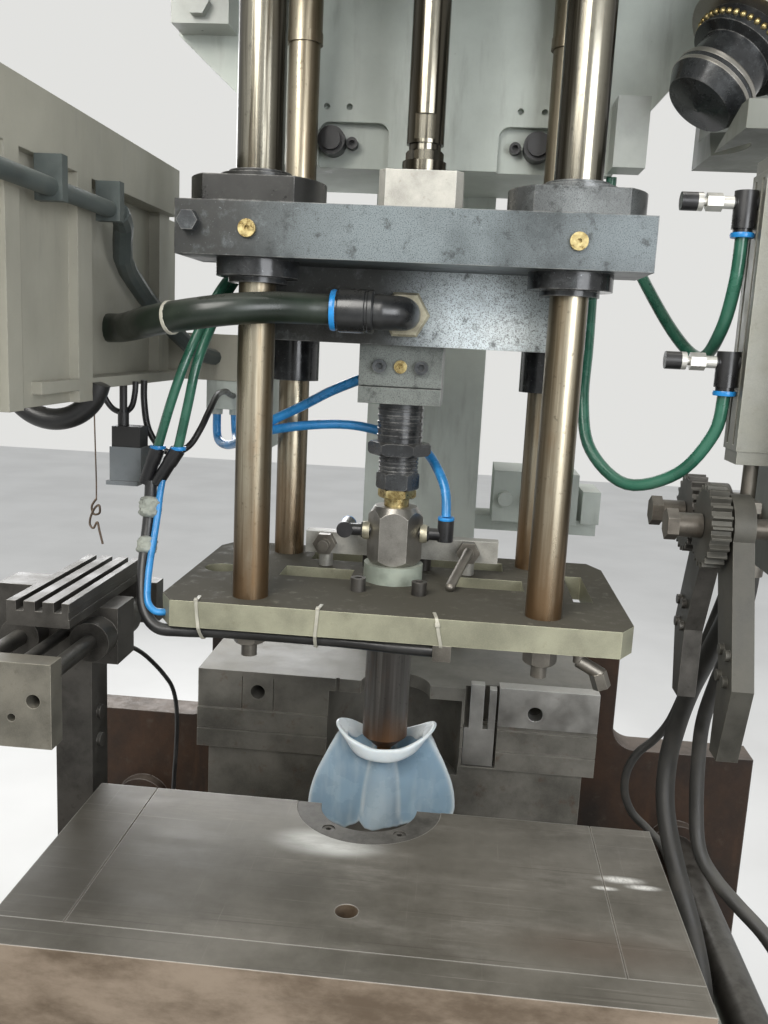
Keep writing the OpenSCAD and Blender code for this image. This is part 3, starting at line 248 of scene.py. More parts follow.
class Net:
    """A material's node tree, with short calls for the nodes that the surfaces share."""

    def __init__(self, name):
        self.material = bpy.data.materials.new(name)
        self.material.use_nodes = True
        self.tree = self.material.node_tree
        self.shader = self.tree.nodes["Principled BSDF"]
        self.place = self.new("TexCoord").outputs["Object"]
        self.geometry = self.new("NewGeometry")
        self.base = None

    def new(self, kind, **settings):
        node = self.tree.nodes.new("ShaderNode" + kind)
        for key, value in settings.items():
            setattr(node, key, value)
        return node

    def feed(self, socket, value):
        if isinstance(value, bpy.types.NodeSocket):
            self.tree.links.new(value, socket)
        elif hasattr(value, "__len__") and len(value) == 3 and len(socket.default_value) == 4:
            socket.default_value = (*value, 1.0)
        else:
            socket.default_value = value

    def fill(self, node, **values):
        for name, value in values.items():
            self.feed(node.inputs[name], value)
        return node

    def moved(self, scale=(1, 1, 1), shift=(0, 0, 0), turn=(0, 0, 0)):
        node = self.new("Mapping")
        self.fill(node, Vector=self.place, Location=shift, Rotation=turn, Scale=scale)
        return node.outputs["Vector"]

    def noise(self, scale, detail=4.0, rough=0.55, stretch=(1, 1, 1), shift=(0, 0, 0), turn=(0, 0, 0)):
        node = self.new("TexNoise")
        self.fill(node, Vector=self.moved(stretch, shift, turn), Scale=scale, Detail=detail, Roughness=rough)
        return node.outputs["Fac"]

    def ramp(self, value, low, high, to_low=0.0, to_high=1.0):
        node = self.new("MapRange", interpolation_type="SMOOTHSTEP")
        self.feed(node.inputs["Value"], value)
        for name, number in zip(("From Min", "From Max", "To Min", "To Max"), (low, high, to_low, to_high)):
            node.inputs[name].default_value = number
        return node.outputs["Result"]

    def math(self, operation, a, b=0.0):
        node = self.new("Math", operation=operation)
        self.feed(node.inputs[0], a)
        self.feed(node.inputs[1], b)
        return node.outputs["Value"]

    def times(self, a, b):
        return self.math("MULTIPLY", a, b)

    def plus(self, a, b):
        return self.math("ADD", a, b)

    def mix(self, share, a, b):
        node = self.new("Mix", data_type="RGBA")
        self.feed(node.inputs[0], share)
        self.feed(node.inputs[6], a)
        self.feed(node.inputs[7], b)
        return node.outputs[2]

    def axis(self, name, source=None):
        node = self.new("SeparateXYZ")
        self.feed(node.inputs["Vector"], source if source else self.place)
        return node.outputs[name]

    def facing_up(self):
        return self.axis("Z", self.geometry.outputs["Normal"])

    def distance(self, point, stretch=(1, 1, 1)):
        shift = tuple(-p * s for p, s in zip(point, stretch))
        node = self.new("VectorMath", operation="LENGTH")
        self.feed(node.inputs[0], self.moved(stretch, shift))
        return node.outputs["Value"]

    def rounded(self, radius):
        return self.fill(self.new("Bevel", samples=6), Radius=radius).outputs["Normal"]

    def edges(self, radius):
        normal = self.rounded(radius)
        dot = self.new("VectorMath", operation="DOT_PRODUCT")
        self.feed(dot.inputs[0], normal)
        self.feed(dot.inputs[1], self.geometry.outputs["True Normal"])
        return self.ramp(self.math("SUBTRACT", 1.0, dot.outputs["Value"]), 0.004, 0.12)

    def start(self, source, low, high, dark, pale):
        self.base = self.mix(self.ramp(source, low, high), dark, pale)

    def over(self, share, color):
        """Lays a color over the base."""
        self.base = self.mix(share, self.base, color)

    def layer(self, source, low, high, share, color):
        self.over(self.ramp(source, low, high, 0.0, share), color)

    def rubbed(self, radius, color, source, low, high, least, most):
        """Edges worn to a color, by a share that follows the source."""
        self.over(self.times(self.edges(radius), self.ramp(source, low, high, least, most)), color)

    def dust(self, color, source, low, high, least, most, slope=0.5):
        """Dust on what faces up; returns its share."""
        lying = self.times(self.ramp(self.facing_up(), slope, 0.98), self.ramp(source, low, high, least, most))
        self.over(lying, color)
        return lying

    def bump(self, height, strength, distance, radius=0.0):
        node = self.fill(self.new("Bump"), Strength=strength, Distance=distance, Height=height)
        if radius:
            self.feed(node.inputs["Normal"], self.rounded(radius))
        self.feed(self.shader.inputs["Normal"], node.outputs["Normal"])

    def finish(self, rough, metal=0.0, coat=0.0):
        self.fill(self.shader, **{"Base Color": self.base, "Roughness": rough, "Metallic": metal,
                                  "Coat Weight": coat, "Coat Roughness": 0.25})
        return self.material


def scaled(color, factor):
    return tuple(min(1.0, c * factor) for c in color)


# How far the edges of metal and paint are rounded, and the color of oily dirt
METAL_EDGE = 0.0007
PAINT_EDGE = 0.0012
GRIME = (0.07, 0.06, 0.045)


def worn_metal(name, color, rough=0.42, metal=0.9, blotch=0.5, size=14.0, stain=(0.05, 0.04, 0.03),
               stain_share=0.35, dust=0.2, dust_color=(0.34, 0.33, 0.3), edge=0.5, bump=0.25):
    """Machined steel that has darkened: blotches, fine grain, stains, settled dust and bright edges."""
    net = Net(name)
    cloud = net.noise(size, 8.0, 0.62)
    grain = net.noise(900.0, 3.0, 0.6)
    spots = net.noise(size * 4.3, 6.0, 0.7, shift=(3.1, 1.7, 0.4))
    net.start(cloud, 0.3, 0.72, scaled(color, 1.0 - blotch), scaled(color, 1.0 + blotch * 0.5))
    net.layer(spots, 0.56, 0.74, stain_share, stain)
    net.layer(grain, 0.35, 0.75, 0.16, scaled(color, 1.7))
    net.rubbed(METAL_EDGE * 2.2, scaled(color, 2.6), spots, 0.3, 0.62, 0.15, edge)
    lying = net.dust(dust_color, spots, 0.3, 0.7, dust * 0.35, dust, 0.4)
    roughness = net.plus(net.ramp(cloud, 0.3, 0.7, rough - 0.08, rough + 0.12), net.times(lying, 0.35))
    height = net.plus(net.times(cloud, 0.5), net.times(grain, 0.25))
    net.bump(height, bump, 0.0009, METAL_EDGE)
    return net.finish(roughness, net.math("SUBTRACT", metal, net.times(lying, 0.7)))


def painted(name, color, rough, grime, chips, dust, size=7.0):
    """Sprayed machine paint: slight unevenness, oily grime with runs, dust on top and chipped edges."""
    net = Net(name)
    cloud = net.noise(size, 7.0, 0.6)
    runs = net.noise(9.0, 6.0, 0.65, stretch=(3.2, 3.2, 0.5), shift=(0.7, 0.2, 0.9))
    specks = net.noise(150.0, 4.0, 0.7)
    peel = net.noise(420.0, 2.0, 0.5)
    net.start(cloud, 0.3, 0.75, scaled(color, 0.84), scaled(color, 1.1))
    net.layer(runs, 0.52, 0.8, grime, GRIME)
    net.layer(specks, 0.66, 0.76, grime * 0.9, GRIME)
    net.rubbed(PAINT_EDGE * 1.6, (0.2, 0.17, 0.14), specks, 0.42, 0.58, 0.0, chips)
    lying = net.dust((0.42, 0.4, 0.35), cloud, 0.25, 0.7, dust * 0.4, dust)
    roughness = net.plus(net.ramp(runs, 0.4, 0.7, rough + 0.06, rough - 0.12), net.times(lying, 0.3))
    net.bump(net.plus(net.times(peel, 0.3), cloud), 0.12, 0.0008, PAINT_EDGE)
    return net.finish(roughness)


def black_oxide(name, gloss=0.42, haze=0.5, color=(0.018, 0.02, 0.023), pale=(0.15, 0.165, 0.17), face=None,
                patches_and_highlights=()):
    """Blued steel: cloudy grey haze, oil, dust specks and rubbed edges, with pale and dark patches at (x, height) on a
    face; the pale ones on the bar and the yoke are painted highlights.
    """
    net = Net(name)
    cloud = net.noise(11.0, 9.0, 0.68)
    fine = net.noise(60.0, 7.0, 0.72, shift=(1.3, 0.1, 2.2))
    specks = net.noise(420.0, 3.0, 0.6)
    runs = net.noise(26.0, 5.0, 0.6, stretch=(1.5, 1.5, 0.25))
    net.base = net.mix(net.ramp(cloud, 0.36, 0.74, haze * 0.15, haze), color, pale)
    # Each patch lightens or darkens a spot on the face; the pale patches of the bar and the yoke are painted highlights
    for (x, height), (wide, tall), size, share, tone in patches_and_highlights:
        near = net.ramp(net.distance((x, face[1], face[2] + height), (wide, 1.0, tall)), size, size * 0.15)
        near = net.times(near, net.ramp(cloud, 0.25, 0.6, share * 0.55, share))
        net.over(near, tone)
    net.layer(fine, 0.5, 0.72, haze * 0.6, scaled(pale, 1.6))
    net.layer(fine, 0.46, 0.3, 0.75, color)
    net.layer(net.noise(900.0, 2.0, 0.6), 0.5, 0.36, 0.7, scaled(color, 1.4))
    net.layer(runs, 0.6, 0.78, 0.4, scaled(color, 0.8))
    net.layer(specks, 0.66, 0.76, 0.55, scaled(pale, 2.4))
    net.rubbed(0.0022, (0.27, 0.265, 0.25), fine, 0.38, 0.62, 0.05, 0.7)
    lying = net.dust((0.2, 0.19, 0.165), cloud, 0.3, 0.7, 0.12, 0.5)
    roughness = net.plus(net.ramp(cloud, 0.35, 0.7, gloss - 0.12, gloss + 0.16), net.times(lying, 0.25))
    net.bump(net.plus(fine, net.times(specks, 0.3)), 0.16, 0.0008, 0.001)
    return net.finish(roughness, 0.2)


def rod_finish(name, pale, dark, rust, rough=0.24, low=None, high=None, streaks=34.0, contrast=0.34,
               center=None, radius=0.025, shade=0.8):
    """Ground rod with length-wise stains, rust that grows towards its lower end, and sides darkened as painted
    reflection.
    """
    net = Net(name)
    lines = net.noise(streaks, 5.0, 0.6, stretch=(1.0, 1.0, 0.03))
    thin_lines = net.noise(streaks * 5, 4.0, 0.6, stretch=(1.0, 1.0, 0.02), shift=(0.3, 0.8, 0.1))
    cloud = net.noise(22.0, 8.0, 0.65, stretch=(1, 1, 0.4))
    spots = net.noise(160.0, 5.0, 0.7)
    net.start(lines, 0.5 - contrast * 0.5, 0.5 + contrast * 0.5, dark, pale)
    net.layer(thin_lines, 0.55, 0.75, 0.45, scaled(pale, 1.3))
    net.layer(thin_lines, 0.44, 0.28, 0.5, dark)
    net.layer(cloud, 0.5, 0.76, 0.5, rust)
    # Painted dark sides: away from its axis at center the rod darkens, a painted reflection of dark surroundings
    if center is not None:
        across = net.math("SUBTRACT", net.math("ABSOLUTE", net.axis("X")), center)
        across = net.plus(net.math("ABSOLUTE", across), net.times(lines, radius * 0.5))
        painted_dark_sides = net.ramp(across, radius * 0.6, radius * 1.02, 0.0, shade)
        net.over(painted_dark_sides, scaled(dark, 0.8))
    net.layer(spots, 0.58, 0.72, 0.5, scaled(dark, 0.35))
    if low is not None:
        depth = net.ramp(net.axis("Z"), low, high, 1.0, 0.0)
        net.over(net.times(depth, net.ramp(cloud, 0.2, 0.6, 0.35, 0.9)), rust)
    roughness = net.ramp(lines, 0.3, 0.75, rough + 0.16, rough - 0.05)
    net.bump(net.plus(lines, net.times(spots, 0.3)), 0.08, 0.0006)
    return net.finish(roughness, 0.85)


def plastic(name, color, rough=0.35, dirt=0.3, dirt_color=(0.1, 0.09, 0.07), coat=0.0, scale=60.0, part=None):
    """Moulded plastic or hose: faint unevenness, scuffs and settled dirt."""
    net = Net(name)
    cloud = net.noise(scale * 0.4, 6.0, 0.6)
    fine = net.noise(scale * 6.0, 4.0, 0.65)
    net.start(cloud, 0.3, 0.72, scaled(color, 0.7), scaled(color, 1.25))
    net.layer(cloud, 0.5, 0.78, dirt, dirt_color)
    net.layer(fine, 0.6, 0.78, dirt * 0.7, scaled(dirt_color, 2.0))
    net.layer(net.facing_up(), 0.45, 1.0, dirt * 0.6, (0.3, 0.29, 0.26))
    net.bump(net.plus(cloud, net.times(fine, 0.4)), 0.1, 0.0006)
    metal = 0.0
    if part:
        axis, low, high, tone, metal_share = part
        along = net.math("ABSOLUTE", net.axis(axis))
        inside = net.times(net.math("GREATER_THAN", along, low), net.math("LESS_THAN", along, high))
        net.over(inside, net.mix(net.ramp(cloud, 0.3, 0.7), scaled(tone, 0.75), scaled(tone, 1.15)))
        metal = net.times(inside, metal_share)
    return net.finish(net.ramp(cloud, 0.3, 0.7, rough - 0.08, rough + 0.14), metal, coat)


def table_finish():
    """Top of the front mould: dark ground steel, crossing scratches, oil stains, a bright pale patch and some dust near
    the pin.
    """
    net = Net("table_steel")
    cloud = net.noise(6.5, 9.0, 0.66)
    smear = net.noise(15.0, 8.0, 0.7, stretch=(0.45, 1.5, 1), turn=(0, 0, 0.35))
    scratch_a = net.noise(60.0, 4.0, 0.7, stretch=(0.05, 4.0, 1), turn=(0, 0, 0.22))
    scratch_b = net.noise(50.0, 4.0, 0.7, stretch=(4.0, 0.06, 1), turn=(0, 0, -0.5))
    scratch_c = net.noise(90.0, 3.0, 0.6, stretch=(0.04, 3.0, 1), turn=(0, 0, -0.12), shift=(0.4, 0.1, 0))
    specks = net.noise(260.0, 4.0, 0.7)
    net.start(cloud, 0.3, 0.72, (0.075, 0.068, 0.054), (0.17, 0.158, 0.134))
    net.layer(smear, 0.5, 0.78, 0.6, (0.27, 0.255, 0.225))
    net.layer(smear, 0.42, 0.2, 0.55, (0.05, 0.043, 0.033))
    net.layer(scratch_a, 0.6, 0.74, 0.5, (0.36, 0.34, 0.3))
    net.layer(scratch_b, 0.62, 0.76, 0.4, (0.34, 0.32, 0.285))
    net.layer(scratch_c, 0.62, 0.72, 0.5, (0.06, 0.05, 0.04))
    net.layer(specks, 0.66, 0.77, 0.55, (0.035, 0.03, 0.022))
    # A bright pale patch near the pin
    patch = net.distance((PIN_X - 0.032, -OPEN_GAP - 0.08, TABLE_TOP), (0.85, 1.9, 0.2))
    pale_patch = net.times(net.ramp(patch, 0.062, 0.012), net.ramp(smear, 0.3, 0.6, 0.45, 1.0))
    net.over(pale_patch, (0.8, 0.81, 0.77))
    dusty = net.distance((PIN_X - 0.1, -OPEN_GAP - 0.06, TABLE_TOP), (0.6, 1.5, 0.2))
    net.layer(dusty, 0.1, 0.02, 0.3, (0.3, 0.29, 0.26))
    oily = net.distance((-0.27, -0.34, TABLE_TOP), (0.6, 0.9, 0.2))
    net.layer(oily, 0.16, 0.03, 0.7, (0.045, 0.04, 0.031))
    for x, y, size in ((0.242, -0.288, 0.022), (0.262, -0.298, 0.016), (0.225, -0.305, 0.012)):
        dent = net.ramp(net.distance((x, y, TABLE_TOP), (0.45, 1.6, 0.2)), size * 0.6, size * 0.1)
        net.over(net.times(dent, net.ramp(specks, 0.3, 0.6, 0.4, 1.0)), (0.8, 0.79, 0.75))
    stain = net.distance((0.21, -0.4, TABLE_TOP), (0.5, 1.6, 0.2))
    net.over(net.times(net.ramp(stain, 0.06, 0.0), 0.45), (0.085, 0.05, 0.03))
    side = net.ramp(net.facing_up(), 0.6, 0.1)
    brown = net.mix(net.ramp(smear, 0.35, 0.65), (0.12, 0.085, 0.055), (0.3, 0.235, 0.175))
    net.over(net.times(side, 0.9), brown)
    net.over(net.times(net.edges(0.002), 0.5), (0.5, 0.48, 0.44))
    roughness = net.ramp(smear, 0.3, 0.7, 0.38, 0.56)
    height = net.plus(net.times(scratch_a, 0.4), net.times(cloud, 0.6))
    net.bump(height, 0.16, 0.0008, 0.0012)
    return net.finish(roughness, 0.35)


def rusty(name, pale, rust, dark):
    """Raw plate gone brown: layered rust over dark scale, with rubbed pale edges."""
    net = Net(name)
    cloud = net.noise(5.0, 9.0, 0.68, stretch=(1, 1, 0.7))
    fine = net.noise(46.0, 7.0, 0.72, shift=(0.4, 1.9, 0.1))
    runs = net.noise(20.0, 6.0, 0.6, stretch=(1.6, 1.6, 0.18))
    net.start(cloud, 0.32, 0.7, dark, rust)
    net.layer(fine, 0.52, 0.76, 0.65, pale)
    net.layer(runs, 0.56, 0.78, 0.6, scaled(rust, 1.5))
    net.rubbed(0.003, (0.26, 0.24, 0.22), fine, 0.3, 0.6, 0.2, 0.8)
    net.dust((0.24, 0.21, 0.18), cloud, 0.3, 0.7, 0.15, 0.5)
    net.bump(net.plus(fine, cloud), 0.35, 0.0012, 0.0015)
    return net.finish(net.ramp(fine, 0.3, 0.7, 0.52, 0.74), 0.3)


def brass():
    net = Net("brass_worn")
    cloud = net.noise(120.0, 6.0, 0.65)
    fine = net.noise(700.0, 3.0, 0.6)
    net.start(cloud, 0.35, 0.7, (0.26, 0.19, 0.075), (0.6, 0.5, 0.25))
    net.layer(fine, 0.6, 0.78, 0.4, (0.9, 0.8, 0.55))
    net.bump(cloud, 0.12, 0.0005, 0.0005)
    return net.finish(net.ramp(cloud, 0.3, 0.7, 0.22, 0.42), 0.95)


def milky(name, thin, thick, clear):
    """Natural polyethylene: bluish milky skin, paler where the attribute says: where it is thick, and along the outer
    edges as painted sheen.
    """
    net = Net(name)
    cloud = net.noise(26.0, 5.0, 0.55)
    fine = net.noise(240.0, 3.0, 0.55)
    pulls = net.noise(55.0, 3.0, 0.5, stretch=(1.0, 1.0, 0.2))
    net.start(cloud, 0.3, 0.75, thin, scaled(thin, 1.15))
    net.layer(pulls, 0.5, 0.75, 0.3, thick)
    net.over(net.new("Attribute", attribute_name="pale").outputs["Fac"], thick)
    net.fill(net.shader, **{"Subsurface Weight": 0.25, "Subsurface Radius": (0.012, 0.016, 0.02),
                            "Subsurface Scale": 0.4, "Sheen Weight": 0.2, "Sheen Roughness": 0.4, "IOR": 1.45,
                            "Alpha": clear})
    net.bump(net.plus(cloud, net.times(fine, 0.2)), 0.2, 0.001)
    return net.finish(net.ramp(cloud, 0.3, 0.7, 0.2, 0.34), 0.0, 0.3)


BLACK = black_oxide("black_oxide")
# Bar: a darker patch at the left, and painted highlights in the middle and at the right
BAR_BLACK = black_oxide("bar_black", 0.42, 0.75, (0.022, 0.024, 0.024), (0.105, 0.12, 0.125), BAR_LOW, (
    ((-0.24, 0.03), (0.6, 1.0), 0.1, 1.3, (0.03, 0.031, 0.029)),
    ((0.0, 0.032), (0.6, 1.0), 0.12, 0.9, (0.19, 0.225, 0.235)),
    ((0.215, 0.03), (0.8, 1.0), 0.08, 0.9, (0.17, 0.2, 0.21))))
# Yoke: a darker patch at the left, and two painted highlights at the right
YOKE_BLACK = black_oxide("yoke_black", 0.42, 0.7, (0.03, 0.031, 0.03), (0.13, 0.14, 0.14), YOKE_LOW, (
    ((-0.07, 0.02), (0.6, 1.0), 0.1, 1.3, (0.026, 0.026, 0.022)),
    ((0.09, 0.035), (0.75, 1.0), 0.11, 1.15, (0.66, 0.73, 0.75)),
    ((0.105, 0.02), (1.0, 1.4), 0.045, 0.9, (0.75, 0.8, 0.8))))
CLAMP_BLACK = black_oxide("clamp_black", 0.4, 0.8, (0.035, 0.038, 0.035), (0.17, 0.185, 0.17),
                          (0, -0.05, CLAMP_LOW), (
    ((PIN_X, 0.035), (0.8, 1.0), 0.07, 0.8, (0.22, 0.24, 0.22)),))
FLANGE_BLACK = black_oxide("flange_black", 0.36, 0.5, (0.014, 0.014, 0.013), (0.036, 0.036, 0.032),
                           (0, BAR_LOW[1], FLANGE_Z), (
    ((COL_X, -0.02), (1.0, 1.0), 0.09, 1.0, (0.2, 0.215, 0.215)),))
BLACK_GLOSS = black_oxide("black_oxide_oiled", 0.24, 0.3, (0.012, 0.012, 0.013))
GREY_PAINT = painted("grey_paint", (0.52, 0.56, 0.51), 0.5, 0.4, 0.3, 0.3)
# The spine has the head's grey-green paint, made paler there as painted light
SPINE_PAINT_LIT = painted("spine_paint_lit", (0.62, 0.66, 0.6), 0.5, 0.35, 0.3, 0.3)
SIDE_PAINT = painted("side_paint", (0.2, 0.21, 0.18), 0.5, 0.5, 0.4, 0.3)
PALE_PAINT = painted("pale_paint", (0.38, 0.365, 0.3), 0.5, 0.32, 0.3, 0.3, 5.0)
BED_PAINT = painted("bed_paint", (0.2, 0.225, 0.19), 0.5, 0.5, 0.5, 0.4)
CHROME_ROD = rod_finish("chrome_rod", (0.31, 0.293, 0.24), (0.035, 0.03, 0.02), (0.1, 0.07, 0.035), 0.14,
    streaks=42.0, contrast=0.12, center=COL_X, radius=0.0275, shade=0.92)
PISTON_ROD = rod_finish("piston_chrome", (0.31, 0.293, 0.24), (0.035, 0.03, 0.02), (0.1, 0.07, 0.035), 0.14,
    streaks=60.0, contrast=0.12, center=0.0, radius=0.016, shade=0.9)
LOWER_ROD = rod_finish("stained_rod", (0.5, 0.455, 0.35), (0.12, 0.09, 0.052), (0.21, 0.125, 0.06), 0.27,
    PLATE_TOP, PLATE_TOP + 0.16, 40.0, 0.26, COL_X, 0.02, 0.75)
PIN_STEEL = rod_finish("pin_steel", (0.2, 0.195, 0.185), (0.055, 0.05, 0.045), (0.21, 0.1, 0.04), 0.34,
    TABLE_TOP - 0.012, TABLE_TOP + 0.05)
STEEL = worn_metal("worn_steel", (0.2, 0.185, 0.16), 0.38)
ARM_STEEL = worn_metal("arm_steel", (0.07, 0.067, 0.056), 0.5, 0.45, 0.45, 16.0, (0.035, 0.03, 0.022), 0.5, 0.2,
    (0.13, 0.125, 0.105), 0.5, 0.2)
DARK_STEEL = worn_metal("dark_steel", (0.085, 0.08, 0.072), 0.42, 0.75, 0.5, 20.0, (0.02, 0.016, 0.012), 0.5, 0.3)
GROUND_STEEL = worn_metal("ground_steel", (0.34, 0.325, 0.295), 0.34, 0.9, 0.35, 10.0)
MOULD_STEEL = worn_metal("mould_steel", (0.19, 0.18, 0.155), 0.5, 0.45, 0.55, 9.0, (0.1, 0.05, 0.025), 0.55, 0.4)
BRIGHT_STEEL = worn_metal("bright_plate", (0.5, 0.49, 0.46), 0.4, 0.85, 0.3, 12.0, (0.2, 0.16, 0.12), 0.3, 0.2)
RUSTY_STEEL = worn_metal("rusty_fitting", (0.15, 0.11, 0.08), 0.5, 0.6, 0.6, 40.0, (0.13, 0.05, 0.02), 0.8, 0.3)
PIVOT_STEEL = worn_metal("pivot_steel", (0.13, 0.115, 0.095), 0.42, 0.7, 0.5, 30.0, (0.1, 0.05, 0.025), 0.5, 0.3)
OLIVE_STEEL = worn_metal("plate_steel", (0.29, 0.285, 0.205), 0.5, 0.3, 0.3, 16.0, (0.14, 0.12, 0.07), 0.35,
    2.2, (0.07, 0.064, 0.047), 0.6, 0.2)
ALUMINIUM = worn_metal("aluminium", (0.42, 0.41, 0.37), 0.45, 0.5, 0.3, 30.0, (0.16, 0.13, 0.09), 0.4, 0.25,
    (0.4, 0.38, 0.33), 0.5)
CYL_ALUMINIUM = worn_metal("cylinder_aluminium", (0.2, 0.198, 0.168), 0.45, 0.5, 0.3, 30.0, (0.1, 0.08, 0.055), 0.4)
DULL_ALUMINIUM = worn_metal("dull_aluminium", (0.16, 0.15, 0.122), 0.5, 0.4, 0.35, 22.0, (0.07, 0.055, 0.035), 0.5,
    0.2, (0.26, 0.24, 0.2), 0.6)
TABLE = table_finish()
OILY_BAR = worn_metal("oily_bar", (0.05, 0.046, 0.04), 0.3, 0.85, 0.5, 12.0, (0.012, 0.01, 0.008), 0.6, 0.25)
RUST = rusty("rusty_plate", (0.08, 0.062, 0.048), (0.06, 0.03, 0.016), (0.014, 0.011, 0.009))
BRASS = brass()
HOSE_OIL = plastic("hose_oily", (0.012, 0.02, 0.013), 0.34, 0.3, (0.06, 0.068, 0.048), 0.12, 40.0)
HOSE_BLACK = plastic("hose_black", (0.014, 0.014, 0.014), 0.36, 0.3, (0.06, 0.055, 0.05), 0.1)
TUBE_GREEN = plastic("tube_green", (0.03, 0.135, 0.085), 0.25, 0.25, (0.08, 0.12, 0.09), 0.4)
TUBE_BLUE = plastic("tube_blue", (0.03, 0.26, 0.6), 0.28, 0.2, (0.1, 0.13, 0.16), 0.3)
RING_BLUE = plastic("ring_blue", (0.02, 0.25, 0.62), 0.3, 0.15)
ELBOW = plastic("elbow_black", (0.014, 0.015, 0.016), 0.26, 0.25, (0.06, 0.062, 0.06), 0.3)
HEAD_MIX = plastic("head_fitting_mix", (0.014, 0.014, 0.015), 0.35, 0.3, (0.06, 0.056, 0.05), 0.1, 30.0,
    ("X", 0.2, 0.4, (0.4, 0.42, 0.385), 0.0))
FLOW_MIX = plastic("flow_control_mix", (0.014, 0.014, 0.015), 0.32, 0.3, (0.07, 0.065, 0.055), 0.15, 60.0,
    ("X", 0.2915, 0.3285, (0.6, 0.59, 0.54), 0.5))
BLACK_PLASTIC = plastic("black_plastic", (0.012, 0.012, 0.013), 0.3, 0.3, (0.07, 0.065, 0.055), 0.15)
GREY_PLASTIC = plastic("grey_plastic", (0.075, 0.09, 0.085), 0.5, 0.35, (0.1, 0.09, 0.07))
SWITCH_GREY = plastic("switch_grey", (0.17, 0.185, 0.19), 0.5, 0.4, (0.09, 0.085, 0.07), 0.0, 60.0,
    ("Z", 1.364, 1.5, (0.02, 0.019, 0.018), 0.0))
NYLON = plastic("nylon", (0.3, 0.335, 0.28), 0.4, 0.35, (0.2, 0.19, 0.13))
TIE = plastic("cable_tie", (0.5, 0.48, 0.4), 0.45, 0.4, (0.2, 0.18, 0.13))
PALE_NUT = worn_metal("pale_nut", (0.42, 0.39, 0.29), 0.4, 0.6, 0.35, 60.0)
TAPE = plastic("cloth_tape", (0.36, 0.38, 0.33), 0.7, 0.6, (0.13, 0.13, 0.1), 0.0, 120.0)
HOSE_GREY = plastic("hose_grey", (0.03, 0.029, 0.026), 0.5, 0.4, (0.07, 0.062, 0.05))
MOIL = milky("moil_skin", (0.26, 0.375, 0.475), (0.6, 0.68, 0.72), 0.82)
MOIL_RIM = milky("moil_rim_plastic", (0.5, 0.58, 0.61), (0.68, 0.74, 0.76), 0.95)

# Each finish with the nodes that have it
FINISHES = (
    (BED_PAINT, "bed"), (OILY_BAR, "tie_bars"), (BLACK, "clamp_cylinders head_bushes clamp_screws"),
    (SPINE_PAINT_LIT, "spine"), (GREY_PAINT, "head_frame head_top air_manifolds"),
    (ALUMINIUM, "main_cylinder head_adapter cross_bar"), (HEAD_MIX, "head_fittings"),
    (BLACK_GLOSS, "drive_motor rod_bushes pin_shank lock_nuts"), (PALE_PAINT, "left_frame"),
    (GREY_PLASTIC, "beam_conduit"), (SWITCH_GREY, "limit_switch"),
    (DARK_STEEL, "slide_body bush_screws striker_ring slide_shafts rear_arm"), (SIDE_PAINT, "side_support"),
    (CYL_ALUMINIUM, "side_cylinder"), (FLOW_MIX, "flow_controls"), (PIVOT_STEEL, "arm_pivots"),
    (BAR_BLACK, "crosshead_bar"), (YOKE_BLACK, "yoke_block"), (FLANGE_BLACK, "upper_flanges"),
    (CHROME_ROD, "guide_rods"), (PISTON_ROD, "piston_rod"), (BRASS, "grease_plugs brass_nut"),
    (ELBOW, "hose_elbow"), (CLAMP_BLACK, "clamp_block"), (GROUND_STEEL, "union_body"),
    (BLACK_PLASTIC, "air_elbows"), (PIN_STEEL, "blow_pin"), (OLIVE_STEEL, "stripper_plate"),
    (LOWER_ROD, "stripper_rods"), (STEEL, "rod_nuts cross_bar_bolts plate_fittings rod_yoke"),
    (NYLON, "nylon_bush"), (TABLE, "front_mould front_platen"), (MOULD_STEEL, "rear_mould"), (RUST, "rear_platen"),
    (BRIGHT_STEEL, "rear_fittings"), (DULL_ALUMINIUM, "slide_block"), (ARM_STEEL, "front_arm"))
for finish, node_names in FINISHES:
    for node_name in node_names.split():
        CAD[node_name].data.materials.clear()
        CAD[node_name].data.materials.append(finish)


def spline_point(a, b, c, d, t):
    """Point on the smooth curve from b to c, at share t of the way."""
    part_1 = (c - a) * t
    part_2 = (2 * a - 5 * b + 4 * c - d) * t * t
    part_3 = (3 * b - a - 3 * c + d) * t * t * t
    return 0.5 * (2 * b + part_1 + part_2 + part_3)


def smooth(points, steps):
    route = [Vector(p) for p in points]
    last = len(route) - 1
    out = []
    for i in range(last):
        a, b, c, d = (route[max(i - 1, 0)], route[i], route[i + 1], route[min(i + 2, last)])
        out += [spline_point(a, b, c, d, k / steps) for k in range(steps)]
    return out + [route[last]]


# Steps from one point of a cord to the next
CORD_STEPS = 6


def tube(name, points, diameter, material):
    """Round tube along a smooth curve through the points."""
    route = smooth(points, CORD_STEPS)
    data = bpy.data.curves.new(name, "CURVE")
    data.dimensions = "3D"
    data.bevel_depth = diameter / 2
    data.bevel_resolution = 5
    data.use_fill_caps = True
    line = data.splines.new("POLY")
    line.points.add(len(route) - 1)
    for point, place in zip(line.points, route):
        point.co = (*place, 1.0)
    data.materials.append(material)
    return add_object(name, data)


def smooth_shade(data, angle):
    data.shade_smooth()
    data.set_sharp_from_angle(angle=angle)


def mesh_tube(name, points, diameter, material):
    """The same tube as a mesh, which can bend between two bodies."""
    curve = tube(f"{name}_line", points, diameter, material)
    depsgraph = bpy.context.evaluated_depsgraph_get()
    data = bpy.data.meshes.new_from_object(curve.evaluated_get(depsgraph))
    bpy.data.objects.remove(curve)
    data.name = name
    smooth_shade(data, 0.8)
    return add_object(name, data)


def length_of(points):
    route = smooth(points, CORD_STEPS)
    return sum((b - a).length for a, b in zip(route, route[1:]))


def in_metres(points, base=(0, 0, 0)):
    """Points in metres from points in millimetres, counted from a base."""
    return [tuple((c + b) * MM for c, b in zip(p, base)) for p in points]


